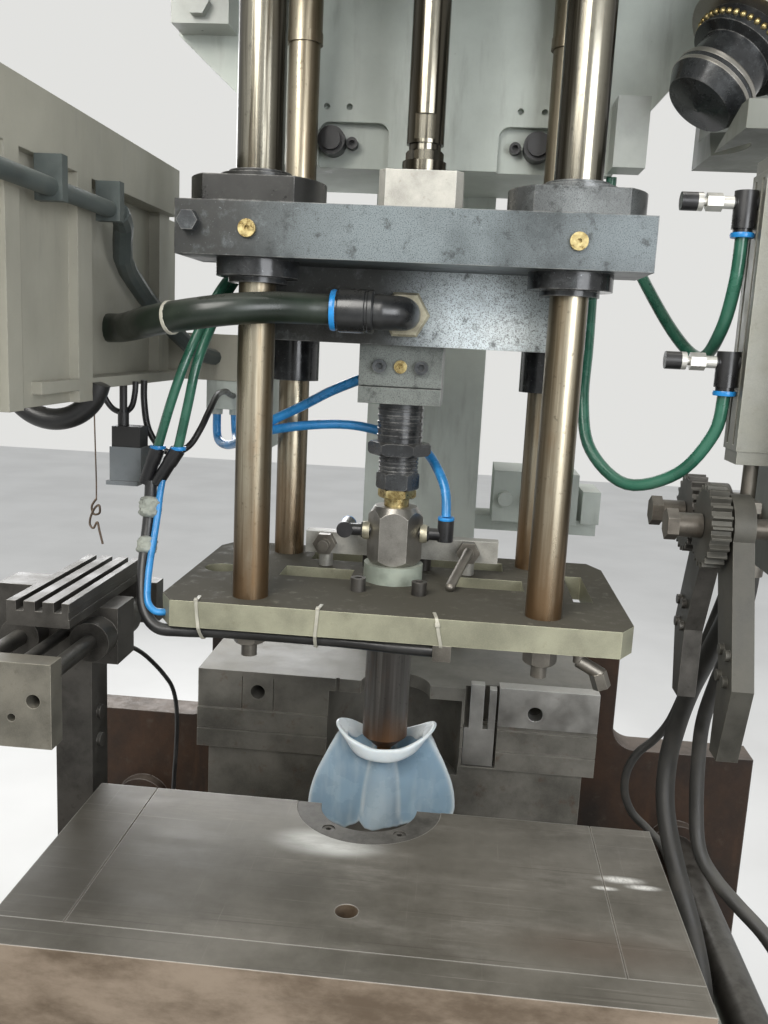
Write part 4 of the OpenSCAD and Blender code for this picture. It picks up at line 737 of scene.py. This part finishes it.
def free_cord(name, points_mm, diameter_mm, material, body, node=None, stiffness="stiff", far_end="object",
              later=False, other=None, base=(0, 0, 0)):
    """Hose or cable on a smooth route, in millimetres; it stands for a node, or is an addition without one.
    Where other names a second body, the cord bends between the two as they move apart."""
    points = in_metres(points_mm, base)
    obj = (mesh_tube if other else tube)(name, points, diameter_mm * MM, material)
    if other:
        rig.blend(obj, body, other, start=points[0], end=points[-1])
    else:
        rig.ride(obj, body)
    if node:
        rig.replaces(obj, node)
    if later:
        obj["length"] = length_of(points)
    else:
        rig.cord(obj, exit=points[0], length=length_of(points), diameter=diameter_mm * MM, far_end=far_end,
                stiffness=stiffness, lay="hanging",
                path=[tuple(p) for p in smooth(points, CORD_STEPS)] if other else None)
    return obj


# Heights and places that the hoses start from, in millimetres
HOSE_Z = YOKE_LOW[2] / MM + 34
ELBOW_Y = YOKE_LOW[1] / MM - 56
CLAMP_Z = CLAMP_LOW / MM
UNION_Z = UNION_LOW / MM
PLATE_Z = PLATE_LOW / MM
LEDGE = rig.box("limit_switch")[1][2] / MM
PORT_Z = 1388
BED_TOP = 418
AT_ELBOW = (0, ELBOW_Y, HOSE_Z)
AT_PLATE = (0, 0, PLATE_Z)
AT_TUBES = (CYL_X / MM, 0, 0)
AT_LEDGE = (0, 0, LEDGE)


def elbow_point(x, y=0.0, z=0.0):
    """Point in metres from the middle of the main hose's elbow."""
    return in_metres([(x, y, z)], AT_ELBOW)[0]



# Hoses and tubes, on the routes of their solids
free_cord("main_hose_run", [
    (-83, 0, 0), (-108, -7, 0), (-140, -28, -1), (-178, -46, -5), (-222, -48, -12), (-270, -24, -20),
    (-308, 22, -26), (-334, 58, -29), (-356, 68, -30)],
    33, HOSE_OIL, "carriage", "main_hose", other="machine", base=AT_ELBOW)
free_cord("air_tube_clamp", [
    (-60, -20, CLAMP_Z + 26), (-100, 10, CLAMP_Z + 8), (-140, 40, CLAMP_Z - 14), (-196, 60, CLAMP_Z - 44),
    (-250, 130, CLAMP_Z - 78), (-284, 180, CLAMP_Z - 78), (-288, 185, PORT_Z)],
    12, TUBE_BLUE, "carriage", "air_tubes", other="machine")
free_cord("air_tube_union", [
    (50, 0, UNION_Z + 60), (44, 14, UNION_Z + 100), (12, 48, UNION_Z + 140), (-48, 52, UNION_Z + 158),
    (-102, 50, UNION_Z + 162), (-180, 54, UNION_Z + 150), (-240, 130, UNION_Z + 122), (-258, 178, UNION_Z + 128),
    (-262, 185, PORT_Z)],
    12, TUBE_BLUE, "carriage", "air_tubes", other="machine")
free_cord("plate_hose_run", [
    (46, -149, -9), (0, -146, -9), (-60, -141, -8.5), (-180, -139, -8.5), (-236, -144, -9), (-264, -147, -6),
    (-281, -139, 13), (-289, -121, 44), (-291, -105, 78), (-291, -94, 112), (-291, -88, 150)],
    14, HOSE_BLACK, "stripper", "plate_hoses", base=AT_PLATE)
for side in (0, 1):
    free_cord(f"plate_branch_{side}", [
        (-284 + side * 24, -86, 189), (-268 + side * 20, -90, 240), (-253 + side * 14, -87, 286),
        (-239 + side * 10, -72 + side * 6, 328), (-225 + side * 6, -52 + side * 14, 366),
        (-206 + side * 3, -38 + side * 20, 397), (-186, -32 + side * 24, 417)],
        11, TUBE_GREEN, "stripper", "plate_hoses", other="carriage", base=AT_PLATE)
free_cord("green_tube_loop", [
    (-37, -88, 1462), (-42, -84, 1420), (-72, -66, 1372), (-122, -36, 1352), (-162, -6, 1386), (-173, 14, 1440),
    (-170, 40, 1510), (-164, 100, 1600), (-160, 168, 1680), (-160, 172, 1726)],
    14, TUBE_GREEN, "machine", "green_tubes", base=AT_TUBES)
free_cord("green_tube_drop", [
    (-37, -88, 1626), (-38, -86, 1580), (-42, -66, 1530), (-50, -20, 1500), (-74, 30, 1530), (-110, 110, 1610),
    (-138, 168, 1680), (-142, 172, 1726)],
    14, TUBE_GREEN, "machine", "green_tubes", base=AT_TUBES)


def mesh_piece(name, build, material, body, smoothed=True, angle=0.6):
    """New piece from a bmesh builder, riding on the body."""
    data = bpy.data.meshes.new(name)
    bm = bmesh.new()
    build(bm)
    bmesh.ops.recalc_face_normals(bm, faces=bm.faces[:])
    bm.to_mesh(data)
    bm.free()
    data.materials.append(material)
    if smoothed:
        smooth_shade(data, angle)
    obj = add_object(name, data)
    if body:
        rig.ride(obj, body)
    return obj


def skin(bm, rows, caps=True, closed=False):
    """Faces over equal rings of vertices; closed joins the last ring to the first."""
    count = len(rows[0])
    for low, high in list(zip(rows, rows[1:])) + ([(rows[-1], rows[0])] if closed else []):
        for k in range(count):
            j = (k + 1) % count
            bm.faces.new((low[k], low[j], high[j], high[k]))
    if caps:
        bm.faces.new(list(reversed(rows[0])))
        bm.faces.new(rows[-1])


def angles(count):
    return [2 * pi * k / count for k in range(count)]


def revolve(bm, profile, center=(0, 0, 0), turn=None, steps=48):
    """Closed solid of revolution about Z from (radius, height) points, then turned and placed."""
    matrix = Matrix.Translation(center) @ (turn.to_4x4() if turn else Matrix.Identity(4))
    skin(bm, [[bm.verts.new(matrix @ Vector((r * cos(a), r * sin(a), z))) for a in angles(steps)]
              for r, z in profile])


ALONG_X = Matrix.Rotation(pi / 2, 3, "Y")
ALONG_Y = Matrix.Rotation(-pi / 2, 3, "X")

# Waste collar: height of its rim and of its torn edge, points round it
MOIL_TOP = TABLE_TOP - 0.012
MOIL_LOW = TABLE_TOP - 0.118
SKIN_THICK = 0.0015
AROUND = 144


def loop_mesh(bm, rings, closed=False, pale=None):
    """Open skin over rings of points, with how pale each one is."""
    layer = bm.verts.layers.float.new("pale")
    rows = []
    for i, ring in enumerate(rings):
        rows.append([bm.verts.new(p) for p in ring])
        for k, vert in enumerate(rows[-1]):
            vert[layer] = pale[i][k] if pale else 1.0
    skin(bm, rows, False, closed)


def rim_point(a):
    """Saddle curve of the waste piece's rim: low at front and back, high beside the pin."""
    side = abs(cos(a))
    high = MOIL_TOP - 0.001 + 0.024 * side ** 2.4 + 0.002 * cos(a)
    return Vector((PIN_X + 0.001 + 0.056 * cos(a), 0.0315 * sin(a), high))


def stem_radius(t):
    return 0.0135 + 0.0125 * t


def held(value):
    """The value, kept between 0 and 1."""
    return max(0.0, min(1.0, value))


def moil_skirt(bm):
    """Two flat wings with a flared stem between them, and a torn lower edge."""
    rings, pale = [], []
    rows = 48
    for i in range(rows + 1):
        t = i / rows
        ring, tones = [], []
        for a in angles(AROUND):
            side = cos(a)
            across = copysign(abs(side) ** 0.8, side)
            top = rim_point(a)
            wide = 0.057 + 0.038 * sin(min(1.0, t / 0.85) * pi / 2) ** 1.15
            wide -= 0.004 * max(0.0, t - 0.85) / 0.15
            x = top.x + (PIN_X + wide * across - top.x) * min(1.0, t / 0.1)
            off = x - PIN_X
            torn = 0.0026 * sin(61 * off + 0.8) + 0.0016 * sin(173 * off) + 0.001 * sin(430 * off)
            torn += 0.008 * held((off - 0.03) / 0.02) - 0.007 * held((-off - 0.025) / 0.02)
            low = MOIL_LOW + torn
            wing = (0.0052 + 0.0263 * exp(-t / 0.09)) * max(0.0, 1 - (off / (wide + 0.001)) ** 2) ** 0.35
            radius = stem_radius(t)
            stem = sqrt(max(0.0, radius ** 2 - off ** 2)) * min(1.0, t / 0.06)
            depth = (wing ** 4 + stem ** 4) ** 0.25
            ripple = 0.0008 * sin(120 * off + 9 * t) * t
            y = copysign(depth + ripple, sin(a)) if abs(sin(a)) > 1e-6 else 0.0
            ring.append(Vector((x, y, top.z + (low - top.z) * t)))
            seam = exp(-((abs(off) - radius) / 0.0022) ** 2)
            # Paler along the wings' outer edges: partly the folded, thicker film, partly painted sheen of grazing light
            brim_fold_and_sheen = exp(-((wide - abs(off)) / 0.003) ** 2)
            inner = 0.45 * max(0.0, 1 - abs(off) / radius) ** 0.4 * min(1.0, t * 1.6) if abs(off) < radius else 0.0
            hem = 0.7 * max(0.0, (t - 0.95) / 0.05)
            tones.append(min(1.0, max(seam * 0.9, brim_fold_and_sheen, inner, hem)))
        rings.append(ring)
        pale.append(tones)
    loop_mesh(bm, rings, pale=pale)


def moil_rim(bm):
    """Thick rolled band along the rim, upright in front and turned out over the sides."""
    rings = []
    for a in angles(AROUND):
        here = rim_point(a)
        along = (rim_point(a + 0.02) - rim_point(a - 0.02)).normalized()
        out = Vector((cos(a), sin(a), 0.0)).normalized()
        side_share = abs(cos(a)) ** 2
        rise = Vector((0, 0, 1)) + out * (0.08 + 0.85 * side_share)
        rise = (rise - along * rise.dot(along)).normalized()
        side = along.cross(rise).normalized()
        tall = 0.0086 + 0.0025 * side_share + 0.0008 * sin(3 * a + 1.0) + 0.0005 * sin(8 * a)
        wide = 0.0036 + 0.0006 * sin(5 * a)
        ring = []
        for b in angles(24):
            lip = 1.0 + 0.5 * max(0.0, cos(b)) ** 3 + 0.35 * max(0.0, -cos(b)) ** 3
            dish = 1.0 - 0.45 * max(0.0, -sin(b)) ** 2
            ring.append(here + rise * (tall * cos(b)) + side * (wide * sin(b) * lip * dish))
        rings.append(ring)
    loop_mesh(bm, rings, closed=True)


def tip_rod(bm):
    """Ribbed end of the blowing rod, inside the stem of the waste piece."""
    ribs, step = 9, 0.008
    profile = [(radius, (k + at) * step) for k in range(ribs)
               for radius, at in ((0.0072, 0.0), (0.0094, 0.25), (0.0094, 0.55), (0.0072, 0.8))]
    revolve(bm, profile, (PIN_X, 0, MOIL_TOP - 0.062), steps=32)


skirt = mesh_piece("moil_skirt", moil_skirt, MOIL, "carriage", angle=3.0)
thickness = skirt.modifiers.new("thickness", "SOLIDIFY")
thickness.thickness = SKIN_THICK
thickness.offset = 0.0
rim = mesh_piece("moil_rim", moil_rim, MOIL_RIM, "carriage", angle=3.0)
for soft in (skirt, rim):
    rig.replaces(soft, "moil")
    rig.squash(soft, "front_clamp", axis=(0, 1, 0), anchor=(PIN_X, 0, TABLE_TOP), keep=0.9)
mesh_piece("blowing_tip", tip_rod, PIN_STEEL, "carriage")


def ring_piece(name, center, radius, width, thick, material, body, turn=None):
    profile = [(radius - thick, -width / 2), (radius, -width / 2), (radius + thick * 0.2, 0.0), (radius, width / 2),
               (radius - thick, width / 2)]
    return mesh_piece(name, lambda bm: revolve(bm, profile, center, turn, 40), material, body)


# Metal threads of the union's two elbows, then the blue release rings of the push-in fittings
for label, x in (("left", PIN_X - 0.0355), ("right", PIN_X + 0.0355)):
    ring_piece(f"elbow_thread_{label}", (x, 0, UNION_LOW + 0.038), 0.0108, 0.0085, 0.004, PALE_NUT, "carriage",
               ALONG_X)
for label, center, radius, width, thick, body, turn in (
        ("main_hose", elbow_point(-81), 0.0212, 0.006, 0.004, "carriage", ALONG_X),
        ("union_right", (0.050, 0, UNION_LOW + 0.0585), 0.0098, 0.004, 0.003, "carriage", None),
        ("union_left", (-0.074, 0.0325, UNION_LOW + 0.038), 0.0098, 0.004, 0.003, "carriage", ALONG_Y),
        ("flow_upper", (CYL_X - 0.037, -0.088, UPPER_FLOW + 0.0015), 0.0118, 0.005, 0.003, "machine", None),
        ("flow_lower", (CYL_X - 0.037, -0.088, LOWER_FLOW + 0.0015), 0.0118, 0.005, 0.003, "machine", None),
        ("joint_0", (-0.284, -0.086, PLATE_LOW + 0.189), 0.0088, 0.004, 0.002, "stripper", None),
        ("joint_1", (-0.26, -0.086, PLATE_LOW + 0.189), 0.0088, 0.004, 0.002, "stripper", None)):
    ring_piece(f"ring_{label}", center, radius, width, thick, RING_BLUE, body, turn)


def y_joint(bm):
    for side in (0, 1):
        low = Vector((-0.298 + side * 0.014, -0.088, PLATE_LOW + 0.148))
        high = Vector((-0.284 + side * 0.024, -0.086, PLATE_LOW + 0.188))
        turn = (high - low).to_track_quat("Z", "Y").to_matrix()
        size = (high - low).length
        profile = [(0.0072, -0.002), (0.0078, 0.001), (0.0078, size * 0.55), (0.0086, size * 0.6),
                   (0.0088, size - 0.001), (0.0075, size)]
        revolve(bm, profile, low, turn, 28)


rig.replaces(mesh_piece("tube_joints", y_joint, BLACK_PLASTIC, "stripper"), "plate_hoses")


def heading(route, i):
    """Direction of the route at its point i."""
    return (route[min(i + 1, len(route) - 1)] - route[max(i - 1, 0)]).normalized()


def sweep(bm, route, radius, sides):
    """Skin round a route; radius(t, angle) gives the distance from the route."""
    rows = []
    side = None
    for i, place in enumerate(route):
        ahead = heading(route, i)
        side = ahead.orthogonal() if side is None else side - ahead * side.dot(ahead)
        side.normalize()
        other = ahead.cross(side)
        t = i / (len(route) - 1)
        rows.append([bm.verts.new(place + (side * cos(a) + other * sin(a)) * radius(t, a))
                     for a in angles(sides)])
    skin(bm, rows)


# Elbow of the main hose: rounded body, collar and hexagon base
def elbow_body(bm):
    points = in_metres([(-60, 0, 0), (-42, 0, 0), (-28, 1, 0), (-16, 6, 0), (-9.5, 16, 0), (-8, 28, 0), (-8, 44, 0)],
                       AT_ELBOW)
    sweep(bm, smooth(points, 8), lambda t, a: 0.0192 - 0.0018 * t + 0.0006 * exp(-((t - 0.3) / 0.03) ** 2), 40)


def elbow_collar(bm):
    profile = [(0.0196, -0.083), (0.0212, -0.0825), (0.0212, -0.0765), (0.0226, -0.0755), (0.0232, -0.0735),
               (0.0232, -0.0475), (0.0222, -0.0465), (0.0222, -0.0445), (0.023, -0.0435), (0.023, -0.0395),
               (0.0218, -0.038), (0.0196, -0.0375)]
    revolve(bm, profile, elbow_point(0), ALONG_X, 56)


def elbow_nut(bm):
    profile = [(0.0245, 0.0), (0.0275, 0.0018), (0.0275, 0.0122), (0.0245, 0.014)]
    revolve(bm, profile, elbow_point(-8, 41.8), ALONG_Y, 6)


for build, finish, smoothed in ((elbow_body, ELBOW, True), (elbow_collar, ELBOW, True), (elbow_nut, PALE_NUT, False)):
    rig.replaces(mesh_piece(build.__name__, build, finish, "carriage", smoothed), "hose_elbow")


def strap(name, route, head):
    """Flat strap along the route with its ratchet head at one of the route's places."""
    across, width, thick = Vector((1.0, 0.0, 0.0)), 3.6 * MM, 1.1 * MM

    def build(bm):
        rows = []
        for i, place in enumerate(route):
            normal = across.cross(heading(route, i)).normalized() * thick / 2
            half = across * width / 2
            rows.append([bm.verts.new(place + half * a + normal * b)
                         for a, b in ((-1, -1), (1, -1), (1, 1), (-1, 1))])
        skin(bm, rows)
        up = (route[head + 1] - route[head - 1]).to_track_quat("Z", "X").to_matrix().to_4x4()
        block = bmesh.ops.create_cube(bm, size=1.0, matrix=Matrix.Translation(route[head]) @ up @
                                      Matrix.Diagonal((width * 1.5, width * 1.2, width * 1.4, 1)))
        edges = {e for v in block["verts"] for e in v.link_edges}
        bmesh.ops.bevel(bm, geom=list(edges), offset=width * 0.16, segments=1, affect="EDGES")

    return mesh_piece(name, build, TIE, "stripper", False)


# Cable ties: straps over the plate's front edge and round the hose under it
for number, (x, lean, head) in enumerate(((-215, 3, 6), (-82, -2, 6), (51, 6, 10))):
    route = in_metres([
        (-lean, 22, 0.4), (-lean * 0.7, 10, 0.6), (-lean * 0.5, 1, 0.7), (-lean * 0.3, -0.8, -3), (0, -0.9, -14),
        (lean * 0.5, -1.0, -27), (lean * 0.6, 0.5, -32), (lean * 0.8, 8, -41), (lean, 16, -47), (lean, 24, -46),
        (lean, 29, -39), (lean, 28, -31)], (x, PLATE_FRONT / MM, PLATE_TOP / MM))
    strap(f"plate_tie_{number}", smooth(route, 3), head)


def band(name, center, direction, radius, width, thick, material, body, rough=0.0):
    """Short sleeve round a hose; rough crumples it as wound tape."""
    turn = Vector(direction).to_track_quat("Z", "Y").to_matrix()
    start = Vector(center) * MM - turn @ Vector((0, 0, width / 2))
    route = [start + turn @ Vector((0, 0, width * k / 12)) for k in range(13)]

    def size(t, a):
        edge = min(1.0, min(t, 1 - t) * 9)
        return radius + thick * edge + rough * (sin(5 * a + 11 * t) + 0.6 * sin(9 * a - 17 * t + 1) +
                                                0.4 * sin(31 * t + 2 * a)) * edge

    return mesh_piece(name, lambda bm: sweep(bm, route, size, 40), material, body)


hose_tie = band("hose_tie", (-247, ELBOW_Y - 38, HOSE_Z - 16.5), (-1, 0.3, -0.14), 0.0162, 0.005, 0.0014, TIE, None)
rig.blend(hose_tie, "carriage", "machine", start=elbow_point(-83), end=elbow_point(-356, 68, -30))
band("tape_low", (-289.5, -106, PLATE_Z + 77), (0.02, 0.55, 1.0), 0.0075, 0.019, 0.0036, TAPE, "stripper", 0.0007)
band("tape_high", (-290, -93, PLATE_Z + 120), (0.05, 0.2, 1.0), 0.0078, 0.024, 0.0045, TAPE, "stripper", 0.001)

# Thin tubes and cables at the left
free_cord("plate_blue_tube", [
    (-256, -140, 10), (-266, -146, 12), (-275, -144, 21), (-279, -134, 38), (-281, -120, 62), (-281, -108, 84),
    (-280, -98, 112), (-279, -93, 134), (-277, -90, 152)],
    8, TUBE_BLUE, "stripper", base=AT_PLATE)
free_cord("plate_green_tube", [
    (-287, -110, 56), (-293, -98, 76), (-296, -87, 98), (-297, -80, 122), (-295, -79, 146)],
    8, TUBE_GREEN, "stripper", base=AT_PLATE)
free_cord("switch_cable_left", [
    (-366, -44, 4), (-364, -44, -14), (-354, -43, -29), (-341, -42, -33), (-331, -42, -26), (-327, -42, -10),
    (-326, -42, 4)],
    7, HOSE_BLACK, "machine", base=AT_LEDGE)
free_cord("switch_cable_right", [
    (-322, -24, 5), (-322, -24, -20), (-317, -24, -52), (-303, -23, -74), (-286, -22, -81), (-268, -18, -72),
    (-256, -12, -52), (-250, 6, -30), (-249, 40, -12), (-252, 90, -10), (-258, 140, -17), (-262, 176, -21)],
    8, HOSE_BLACK, "machine", base=AT_LEDGE)
free_cord("beam_black_hose", [
    (-378 + 52 * cos(radians(a)), -150, 17 + 52 * sin(radians(a))) for a in range(188, 353, 16)],
    24, HOSE_BLACK, "machine", stiffness="limp", base=AT_LEDGE)
free_cord("slide_cable", [
    (-345, -128, 1118), (-346, -100, 1117), (-346, -70, 1115), (-345, -40, 1110), (-343, -10, 1099),
    (-340, 20, 1082), (-335, 48, 1060), (-328, 74, 1034), (-322, 96, 1006), (-320, 110, 970), (-321, 115, 920),
    (-325, 116, 850), (-328, 116, 750), (-331, 112, 640), (-332, 108, 520), (-332, 108, 422)],
    6, HOSE_BLACK, "machine")
wire = free_cord("hook_wire", [
    (-395, 0, 4), (-394, 0, -36), (-393, 0, -80), (-392, 0, -122), (-392, 0, -150)],
    1.8, RUSTY_STEEL, "machine", stiffness="medium", far_end="fitting", later=True, base=AT_LEDGE)


def wire_hook(bm):
    route = in_metres([
        (-392, 0, -148), (-398, 0, -158), (-396, 1, -168), (-388, 0, -166), (-388, -1, -156), (-394, 0, -160),
        (-400, 1, -172), (-401, 1, -182), (-396, 0, -186), (-391, 0, -178), (-388, 0, -190), (-384, 0, -206)],
        AT_LEDGE)
    sweep(bm, smooth(route, 6), lambda t, a: 0.0014, 12)


hook = mesh_piece("wire_hook", wire_hook, RUSTY_STEEL, "machine")
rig.cord(wire, exit=(-0.395, 0, (LEDGE + 4) * MM), length=wire["length"], diameter=0.0018, far_end="fitting",
        stiffness="medium", lay="hanging", with_pieces=[hook])

# Hydraulic hoses that drop from the right-hand support to the bed
free_cord("drain_hose_front", [
    (415, -16, 1284), (415, -13, 1230), (413, 10, 1164), (409, 48, 1096), (406, 78, 1030), (407, 86, 976),
    (408, 72, 905), (412, 50, 856), (430, 30, 828), (456, 8, 806), (487, -20, 782), (514, -42, 742),
    (526, -54, 690), (530, -60, 620), (530, -62, 540), (530, -62, 470), (530, -62, BED_TOP)],
    19, HOSE_GREY, "machine")
free_cord("drain_hose_rear", [
    (418, 14, 1296), (418, 17, 1250), (414, 46, 1186), (407, 90, 1116), (398, 128, 1050), (389, 143, 990),
    (381, 140, 934), (379, 114, 876), (393, 74, 808), (412, 36, 744), (424, 4, 682), (427, -14, 620),
    (427, -20, 540), (427, -22, 470), (427, -22, BED_TOP)],
    26, HOSE_GREY, "machine")
free_cord("pilot_hose_loop", [
    (415, 10, 1344), (416, 18, 1318), (417, 40, 1276), (415, 76, 1214), (412, 116, 1148), (407, 152, 1080),
    (400, 178, 1022), (389, 190, 976), (372, 194, 946), (350, 195, 922), (337, 194, 892), (337, 192, 858),
    (350, 188, 830), (372, 178, 812), (394, 160, 792), (408, 134, 750), (409, 106, 690), (404, 86, 610),
    (397, 74, 530), (394, 70, BED_TOP)],
    12, HOSE_GREY, "machine")

# Their ferrules on the bed and their collars at the support: name, radius, and where each one stands
HOSE_ENDS = (("front", 0.0125, (530, -62, 434), (415, -15, 1264)),
             ("rear", 0.016, (427, -22, 434), (418, 15, 1284)),
             ("pilot", 0.0088, (394, 70, 434), (415, 13, 1334)))
for kind, end in (("ferrule", 2), ("collar", 3)):
    for hose in HOSE_ENDS:
        ring_piece(f"hose_{kind}_{hose[0]}", in_metres([hose[end]])[0], hose[1], 0.03, 0.0035, STEEL, "machine")


# Drive: bright flange, a ring of brass beads whose gold is painted glint, and pale bands on its tilted axis
DRIVE_TURN = (Matrix.Rotation(radians(22), 3, "Z") @ Matrix.Rotation(radians(38), 3, "Y") @
              Matrix.Rotation(pi, 3, "X"))
DRIVE_AT = (CYL_X, 0.06, 1.88)
BEADS, BEAD_R, BEAD_CIRCLE = 40, 0.0034, 0.0566


def drive_rings(bm):
    for profile in (((0.0555, 0.0175), (0.0742, 0.0175), (0.0748, 0.019), (0.0748, 0.029), (0.0742, 0.0305),
                     (0.0555, 0.0305)),
                    ((0.0435, 0.0835), (0.0496, 0.0868), (0.0506, 0.0885), (0.0506, 0.0935), (0.0435, 0.094)),
                    ((0.0435, 0.0985), (0.0506, 0.099), (0.0506, 0.1035), (0.0435, 0.104))):
        revolve(bm, profile, DRIVE_AT, DRIVE_TURN, 72)


# Brass beads stand for the knurl of a threaded ring; their gold is painted glint
def drive_glint_beads(bm):
    place = Matrix.Translation(DRIVE_AT) @ DRIVE_TURN.to_4x4()
    for a in angles(BEADS):
        at = place @ Matrix.Translation((BEAD_CIRCLE * cos(a), BEAD_CIRCLE * sin(a), 0.042))
        bmesh.ops.create_icosphere(bm, subdivisions=2, radius=BEAD_R, matrix=at @ Matrix.Diagonal((1, 1, 1.25, 1)))


mesh_piece("drive_rings", drive_rings, GROUND_STEEL, "machine")
mesh_piece("drive_glint_beads", drive_glint_beads, BRASS, "machine")


def make_floor():
    bpy.ops.mesh.primitive_plane_add(size=16, location=(0, 2.0, 0))
    floor = bpy.context.object
    floor.name = "floor"
    net = Net("floor_pale")
    cloud = net.noise(1.5, 4.0, 0.5)
    net.start(cloud, 0.3, 0.7, (0.5, 0.497, 0.485), (0.55, 0.547, 0.535))
    net.finish(0.7)
    net.feed(net.shader.inputs["Emission Color"], net.base)
    rays = net.new("LightPath")
    net.feed(net.shader.inputs["Emission Strength"], net.times(rays.outputs["Is Camera Ray"], 0.42))
    floor.data.materials.append(net.material)
    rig.stage(floor)


def make_world():
    """Dim surroundings that light the machine, and a paler backdrop for the camera and reflections."""
    world = bpy.data.worlds.new("studio")
    bpy.context.scene.world = world
    world.use_nodes = True
    tree = world.node_tree
    tree.nodes.clear()

    def new(kind):
        return tree.nodes.new("ShaderNode" + kind)

    out = new("OutputWorld")
    lights = []
    for color, strength in (((0.78, 0.82, 0.86, 1), 0.5), ((0.80, 0.80, 0.78, 1), 0.95)):
        light = new("Background")
        light.inputs["Color"].default_value = color
        light.inputs["Strength"].default_value = strength
        lights.append(light.outputs["Background"])
    rays = new("LightPath")
    pick = new("MixShader")
    seen = rays.outputs["Is Camera Ray"]
    for kind in ("Is Glossy Ray", "Is Transmission Ray"):
        larger = new("Math")
        larger.operation = "MAXIMUM"
        tree.links.new(seen, larger.inputs[0])
        tree.links.new(rays.outputs[kind], larger.inputs[1])
        seen = larger.outputs["Value"]
    tree.links.new(seen, pick.inputs["Fac"])
    tree.links.new(lights[0], pick.inputs[1])
    tree.links.new(lights[1], pick.inputs[2])
    tree.links.new(pick.outputs["Shader"], out.inputs["Surface"])


def lamp(name, place, target, size, power, color):
    data = bpy.data.lights.new(name, "AREA")
    data.energy = power
    data.color = color
    data.shape = "RECTANGLE"
    data.size = data.size_y = size
    obj = add_object(name, data)
    obj.location = place
    aim = Vector(target) - Vector(place)
    obj.rotation_euler = aim.to_track_quat("-Z", "Y").to_euler()


make_floor()
make_world()
lamp("key", (-0.9, -2.1, 3.0), (0, 0, 1.3), 1.6, 70, (1.0, 0.97, 0.92))
lamp("fill", (1.4, -2.3, 1.8), (0, 0, 1.3), 1.4, 42, (0.95, 0.97, 1.0))
lamp("top", (0.1, 0.6, 4.2), (0, 0, 1.2), 2.4, 70, (1.0, 0.97, 0.93))
lamp("rear", (-1.2, 2.8, 2.4), (0, 0, 1.1), 2.0, 60, (0.97, 0.98, 1.0))

bpy.context.scene.view_settings.view_transform = "Standard"

with open("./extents.json", "w") as size_file:
    json.dump({"cad": cad_box, "visual": [list(corner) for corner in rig.bounds()]}, size_file)
